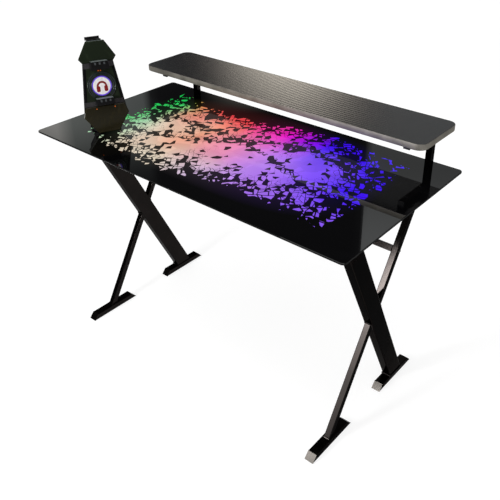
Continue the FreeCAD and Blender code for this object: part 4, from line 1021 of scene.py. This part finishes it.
class DESK_OT_ridge_surround(bpy.types.Operator):
    """Make the round ridges about the tower's disc"""
    bl_idname = "desk.ridge_surround"
    bl_label = "Disc surround"

    def execute(self, context):
        sign = context.scene.desk_sign
        low, high = box_on_tower("disc_surround", sign)
        hole = box_on_tower("disc_ring", sign)
        centre = Vector(((low.x + high.x) / 2, high.y, (hole[0].z + hole[1].z) / 2))
        outer = (high.x - low.x) / 2
        inner = (hole[1].x - hole[0].x) / 2 + sign.play
        split = (inner + outer) / 2 - sign.ridge
        plate, crest = sign.plate, high.y - low.y - sign.plate

        def ridge(middle):
            angles = [step * math.pi / RIDGE_STEPS for step in range(RIDGE_STEPS + 1)]
            return [(middle - sign.ridge / 2 * math.cos(angle), -plate - crest * math.sin(angle))
                    for angle in angles]

        work = bmesh.new()
        spun_section(work, [(inner, 0.0)] + ridge(inner + sign.ridge / 2) + [(split, -plate), (split, 0.0)],
                     0.0, 2 * math.pi, RING_STEPS)
        cradle_top = box_on_tower("lower_cradle", sign)[1].z
        notch = math.asin(min(1.0, (centre.z - cradle_top - sign.play) / outer))
        section = ([(split, 0.0), (split, -plate)] + ridge((inner + outer) / 2)
                   + ridge(outer - sign.ridge / 2))
        spun_section(work, section + [(outer, 0.0)], -notch, math.pi + 2 * notch, NOTCHED_STEPS)
        bmesh.ops.transform(work, matrix=tower_stand(sign) @ Matrix.Translation(centre), verts=work.verts)
        gloss = polished("ridged_plate", context.scene.desk_finish.ridges, 22.0, 0.14, 0.22, specular=0.5)
        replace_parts(add_piece("ridged_surround", work, gloss, "tower"), "disc_surround")
        return {"FINISHED"}


class DESK_OT_print_sign(bpy.types.Operator):
    """Print a headset sign on the tower's lit disc"""
    bl_idname = "desk.print_sign"
    bl_label = "Disc sign"

    def execute(self, context):
        sign = context.scene.desk_sign
        low, high = box_on_tower("disc_lens", sign)
        work = bmesh.new()
        inner, outer = sign.arch - sign.strip / 2, sign.arch + sign.strip / 2
        spun_section(work, [(inner, 0.0), (outer, 0.0), (outer, -sign.film), (inner, -sign.film)],
                     0.0, math.pi, ARCH_STEPS)
        for side in (-1, 1):
            cup = bmesh.ops.create_cube(work, size=1.0)["verts"]
            bmesh.ops.scale(work, vec=(sign.cup_width, sign.film, sign.cup_height), verts=cup)
            corners = [edge for edge in edges_of(cup)
                       if abs((edge.verts[0].co - edge.verts[1].co).y) > sign.film / 2]
            drop = (side * (sign.arch - sign.strip / 4), -sign.film / 2, -sign.cup_height * CUP_DROP)
            bmesh.ops.translate(work, vec=drop, verts=cup)
            bmesh.ops.bevel(work, geom=corners, offset=sign.cup_width * CUP_ROUNDING, affect="EDGES",
                            segments=5, profile=0.5, material=-1)
        level = (low.z + high.z) / 2 - sign.arch * SIGN_DROP
        centre = Matrix.Translation(((low.x + high.x) / 2, low.y, level))
        bmesh.ops.transform(work, matrix=tower_stand(sign) @ centre, verts=work.verts)
        ink = lit_surface("sign_ink", context.scene.desk_finish.sign, 0.5, scale=300.0)
        add_piece("headset_sign", work, ink, "tower")
        return {"FINISHED"}


# Levels of the front softbox from its foot at 0 to its top at 1.
SOFTBOX_GRADE = ((0.0, 0.08), (0.33, 0.13), (0.58, 0.30), (0.72, 1.0), (1.0, 1.0))
# Pieces that the front softbox is flagged off, so that they don't mirror it.
FLAGGED = ("glass_top", "shelf_board", "lit_print")
OVERHEAD = 3.0


def add_lamp(light, matrix):
    """Hang a lamp in the scene."""
    item = bpy.data.objects.new(light.name, light)
    item.matrix_world = matrix
    bpy.context.scene.collection.objects.link(item)
    return item


def front_softbox(settings):
    """An upright softbox in front of the desk, brightest in its upper part and flagged off the tops."""
    light = bpy.data.lights.new("front_softbox", "AREA")
    light.shape = "RECTANGLE"
    light.size, light.size_y = settings.key_width, settings.key_height
    light.energy = settings.key_power
    light.use_nodes = True
    tree = light.node_tree
    over = parts_of(tree, put(tree, "NewGeometry").outputs["Parametric"])[1]
    grade = ramp(tree, over, [(place, (level, level, level, 1.0)) for place, level in SOFTBOX_GRADE])
    feed(tree.nodes["Emission"], {"Color": grade})
    lamp = add_lamp(light, Matrix.Translation(settings.key_spot) @ Matrix.Rotation(math.pi / 2, 4, "X"))
    flagged = bpy.data.collections.new("flagged_pieces")
    for name in FLAGGED:
        flagged.objects.link(NODES[name] if name in NODES else bpy.data.objects[name])
    for member in flagged.collection_objects:
        member.light_linking.link_state = "EXCLUDE"
    lamp.light_linking.receiver_collection = flagged


def overhead_light(settings):
    """Wide even light from above."""
    light = bpy.data.lights.new("overhead_light", "SUN")
    light.energy = settings.top_level
    light.angle = settings.top_spread
    add_lamp(light, Matrix.Translation((0, 0, OVERHEAD)) @ Matrix.Rotation(settings.top_turn, 4, "X"))


def floor_paint(settings):
    """A pale floor that keeps shadows; what the eye and reflections see of it is lifted to white."""
    made = bpy.data.materials.new("pale_floor")
    made.use_nodes = True
    tree = made.node_tree
    shader = tree.nodes["Principled BSDF"]
    feed(shader, {"Base Color": settings.floor, "Roughness": 0.9, "Specular IOR Level": 0.0})
    path = put(tree, "LightPath").outputs
    seen = sums(tree, "MAXIMUM", sums(tree, "MAXIMUM", path["Is Camera Ray"], path["Is Glossy Ray"]),
                path["Is Transmission Ray"])
    lift = put(tree, "Emission", {"Strength": times(tree, seen, settings.floor_lift)})
    both = put(tree, "AddShader", {0: shader.outputs[0], 1: lift.outputs[0]})
    feed(tree.nodes["Material Output"], {"Surface": both.outputs[0]})
    return made


# The room's walls by bearing, from 0 at +X through 0.5 at +Y to 1 at -X. Heights are sines of the view up.
WALLS = ((0.0, "room"), (0.52, "room"), (0.60, "wall_right"), (0.669, "wall_right"),
         (0.672, "wall_back"), (0.781, "wall_back"), (0.785, "wall_left"), (0.822, "wall_mid"),
         (0.827, "wall_near"), (0.90, "room"))
LEFT_FROM, LEFT_FADES, LEFT_FADE = 0.73, (0.36, 0.46), 0.9
RIGHT_FROM, RIGHT_TO, RIGHT_RISES = 0.56, 0.6705, (0.43, 0.57)
GLOW_BEARING, GLOW_HALF, GLOW_FADES = 0.711, 0.046, (0.375, 0.30)
CEILING = (0.55, 0.8)


def room_light(settings):
    """A dim room: a dark wall with a low glow behind the desk, between two lit ones."""
    world = bpy.data.worlds.new("studio_room")
    world.use_nodes = True
    tree = world.node_tree
    way = parts_of(tree, put(tree, "TexCoord").outputs["Generated"])
    bearing = sums(tree, "DIVIDE", sums(tree, "ARCTAN2", way[1], way[0]), math.pi)
    walls = named_ramp(tree, bearing, settings, WALLS)
    fading = times(tree, steps(tree, way[2], *LEFT_FADES), sums(tree, "GREATER_THAN", bearing, LEFT_FROM))
    walls = blend(tree, times(tree, fading, LEFT_FADE), walls, settings.wall_back)
    rising = times(tree, steps(tree, way[2], *RIGHT_RISES), sums(tree, "LESS_THAN", bearing, RIGHT_TO))
    rising = times(tree, rising, sums(tree, "GREATER_THAN", bearing, RIGHT_FROM))
    walls = blend(tree, rising, walls, settings.wall_high)
    beside = sums(tree, "ABSOLUTE", sums(tree, "SUBTRACT", bearing, GLOW_BEARING))
    patch = times(tree, steps(tree, beside, GLOW_HALF, 0.0), steps(tree, way[2], *GLOW_FADES))
    lit = blend(tree, patch, walls, settings.glow)
    lit = blend(tree, steps(tree, way[2], *CEILING), lit, settings.room)
    feed(tree.nodes["Background"], {"Color": lit})
    bpy.context.scene.world = world


SENSOR_WIDTH = 36.0


class DESK_OT_set_stage(bpy.types.Operator):
    """Lay the floor and set the room, lamps and camera"""
    bl_idname = "desk.set_stage"
    bl_label = "Stage"

    def execute(self, context):
        scene = context.scene
        settings = scene.desk_stage
        work = bmesh.new()
        bmesh.ops.create_grid(work, x_segments=4, y_segments=4, size=settings.floor_span / 2)
        mesh = bpy.data.meshes.new("studio_floor")
        work.to_mesh(mesh)
        work.free()
        mesh.materials.append(floor_paint(settings))
        floor = bpy.data.objects.new("studio_floor", mesh)
        scene.collection.objects.link(floor)
        room_light(settings)
        front_softbox(settings)
        overhead_light(settings)
        eye = bpy.data.cameras.new("photo_camera")
        eye.sensor_width = SENSOR_WIDTH
        eye.lens = settings.lens
        eye.shift_x, eye.shift_y = settings.shift_x, settings.shift_y
        camera = bpy.data.objects.new("photo_camera", eye)
        camera.matrix_world = (Matrix.Translation(settings.camera)
                               @ Matrix.Rotation(settings.heading, 4, "Z")
                               @ Matrix.Rotation(math.pi / 2 - settings.dip, 4, "X")
                               @ Matrix.Rotation(-settings.roll, 4, "Z"))
        scene.collection.objects.link(camera)
        scene.camera = camera
        scene.view_settings.view_transform = "Standard"
        return {"FINISHED"}


STEPS = (DESK_OT_mix_effects, DESK_OT_coat_frame, DESK_OT_polish_glass, DESK_OT_lay_print,
         DESK_OT_weld_joints, DESK_OT_fit_screws, DESK_OT_finish_shelf, DESK_OT_finish_light_unit,
         DESK_OT_finish_tower, DESK_OT_ridge_surround, DESK_OT_print_sign, DESK_OT_set_stage)
GROUPS = {"desk_print": PrintSettings, "desk_finish": FinishSettings, "desk_joint": JointSettings,
          "desk_sign": SignSettings, "desk_stage": StageSettings}


class DESK_PT_looks(bpy.types.Panel):
    """The desk's steps, in the order in which they run"""
    bl_idname = "DESK_PT_looks"
    bl_label = "Gaming desk"
    bl_space_type = "VIEW_3D"
    bl_region_type = "UI"
    bl_category = "Desk"

    def draw(self, context):
        for step in STEPS:
            self.layout.operator(step.bl_idname)


def register():
    for group in GROUPS.values():
        bpy.utils.register_class(group)
    for name, group in GROUPS.items():
        setattr(bpy.types.Scene, name, bpy.props.PointerProperty(type=group))
    for step in STEPS:
        bpy.utils.register_class(step)
    bpy.utils.register_class(DESK_PT_looks)


def unregister():
    bpy.utils.unregister_class(DESK_PT_looks)
    for step in reversed(STEPS):
        bpy.utils.unregister_class(step)
    for name, group in GROUPS.items():
        delattr(bpy.types.Scene, name)
        bpy.utils.unregister_class(group)


def main():
    register()
    for step in STEPS:
        group, name = step.bl_idname.split(".")
        getattr(getattr(bpy.ops, group), name)()


if __name__ == "__main__":
    main()
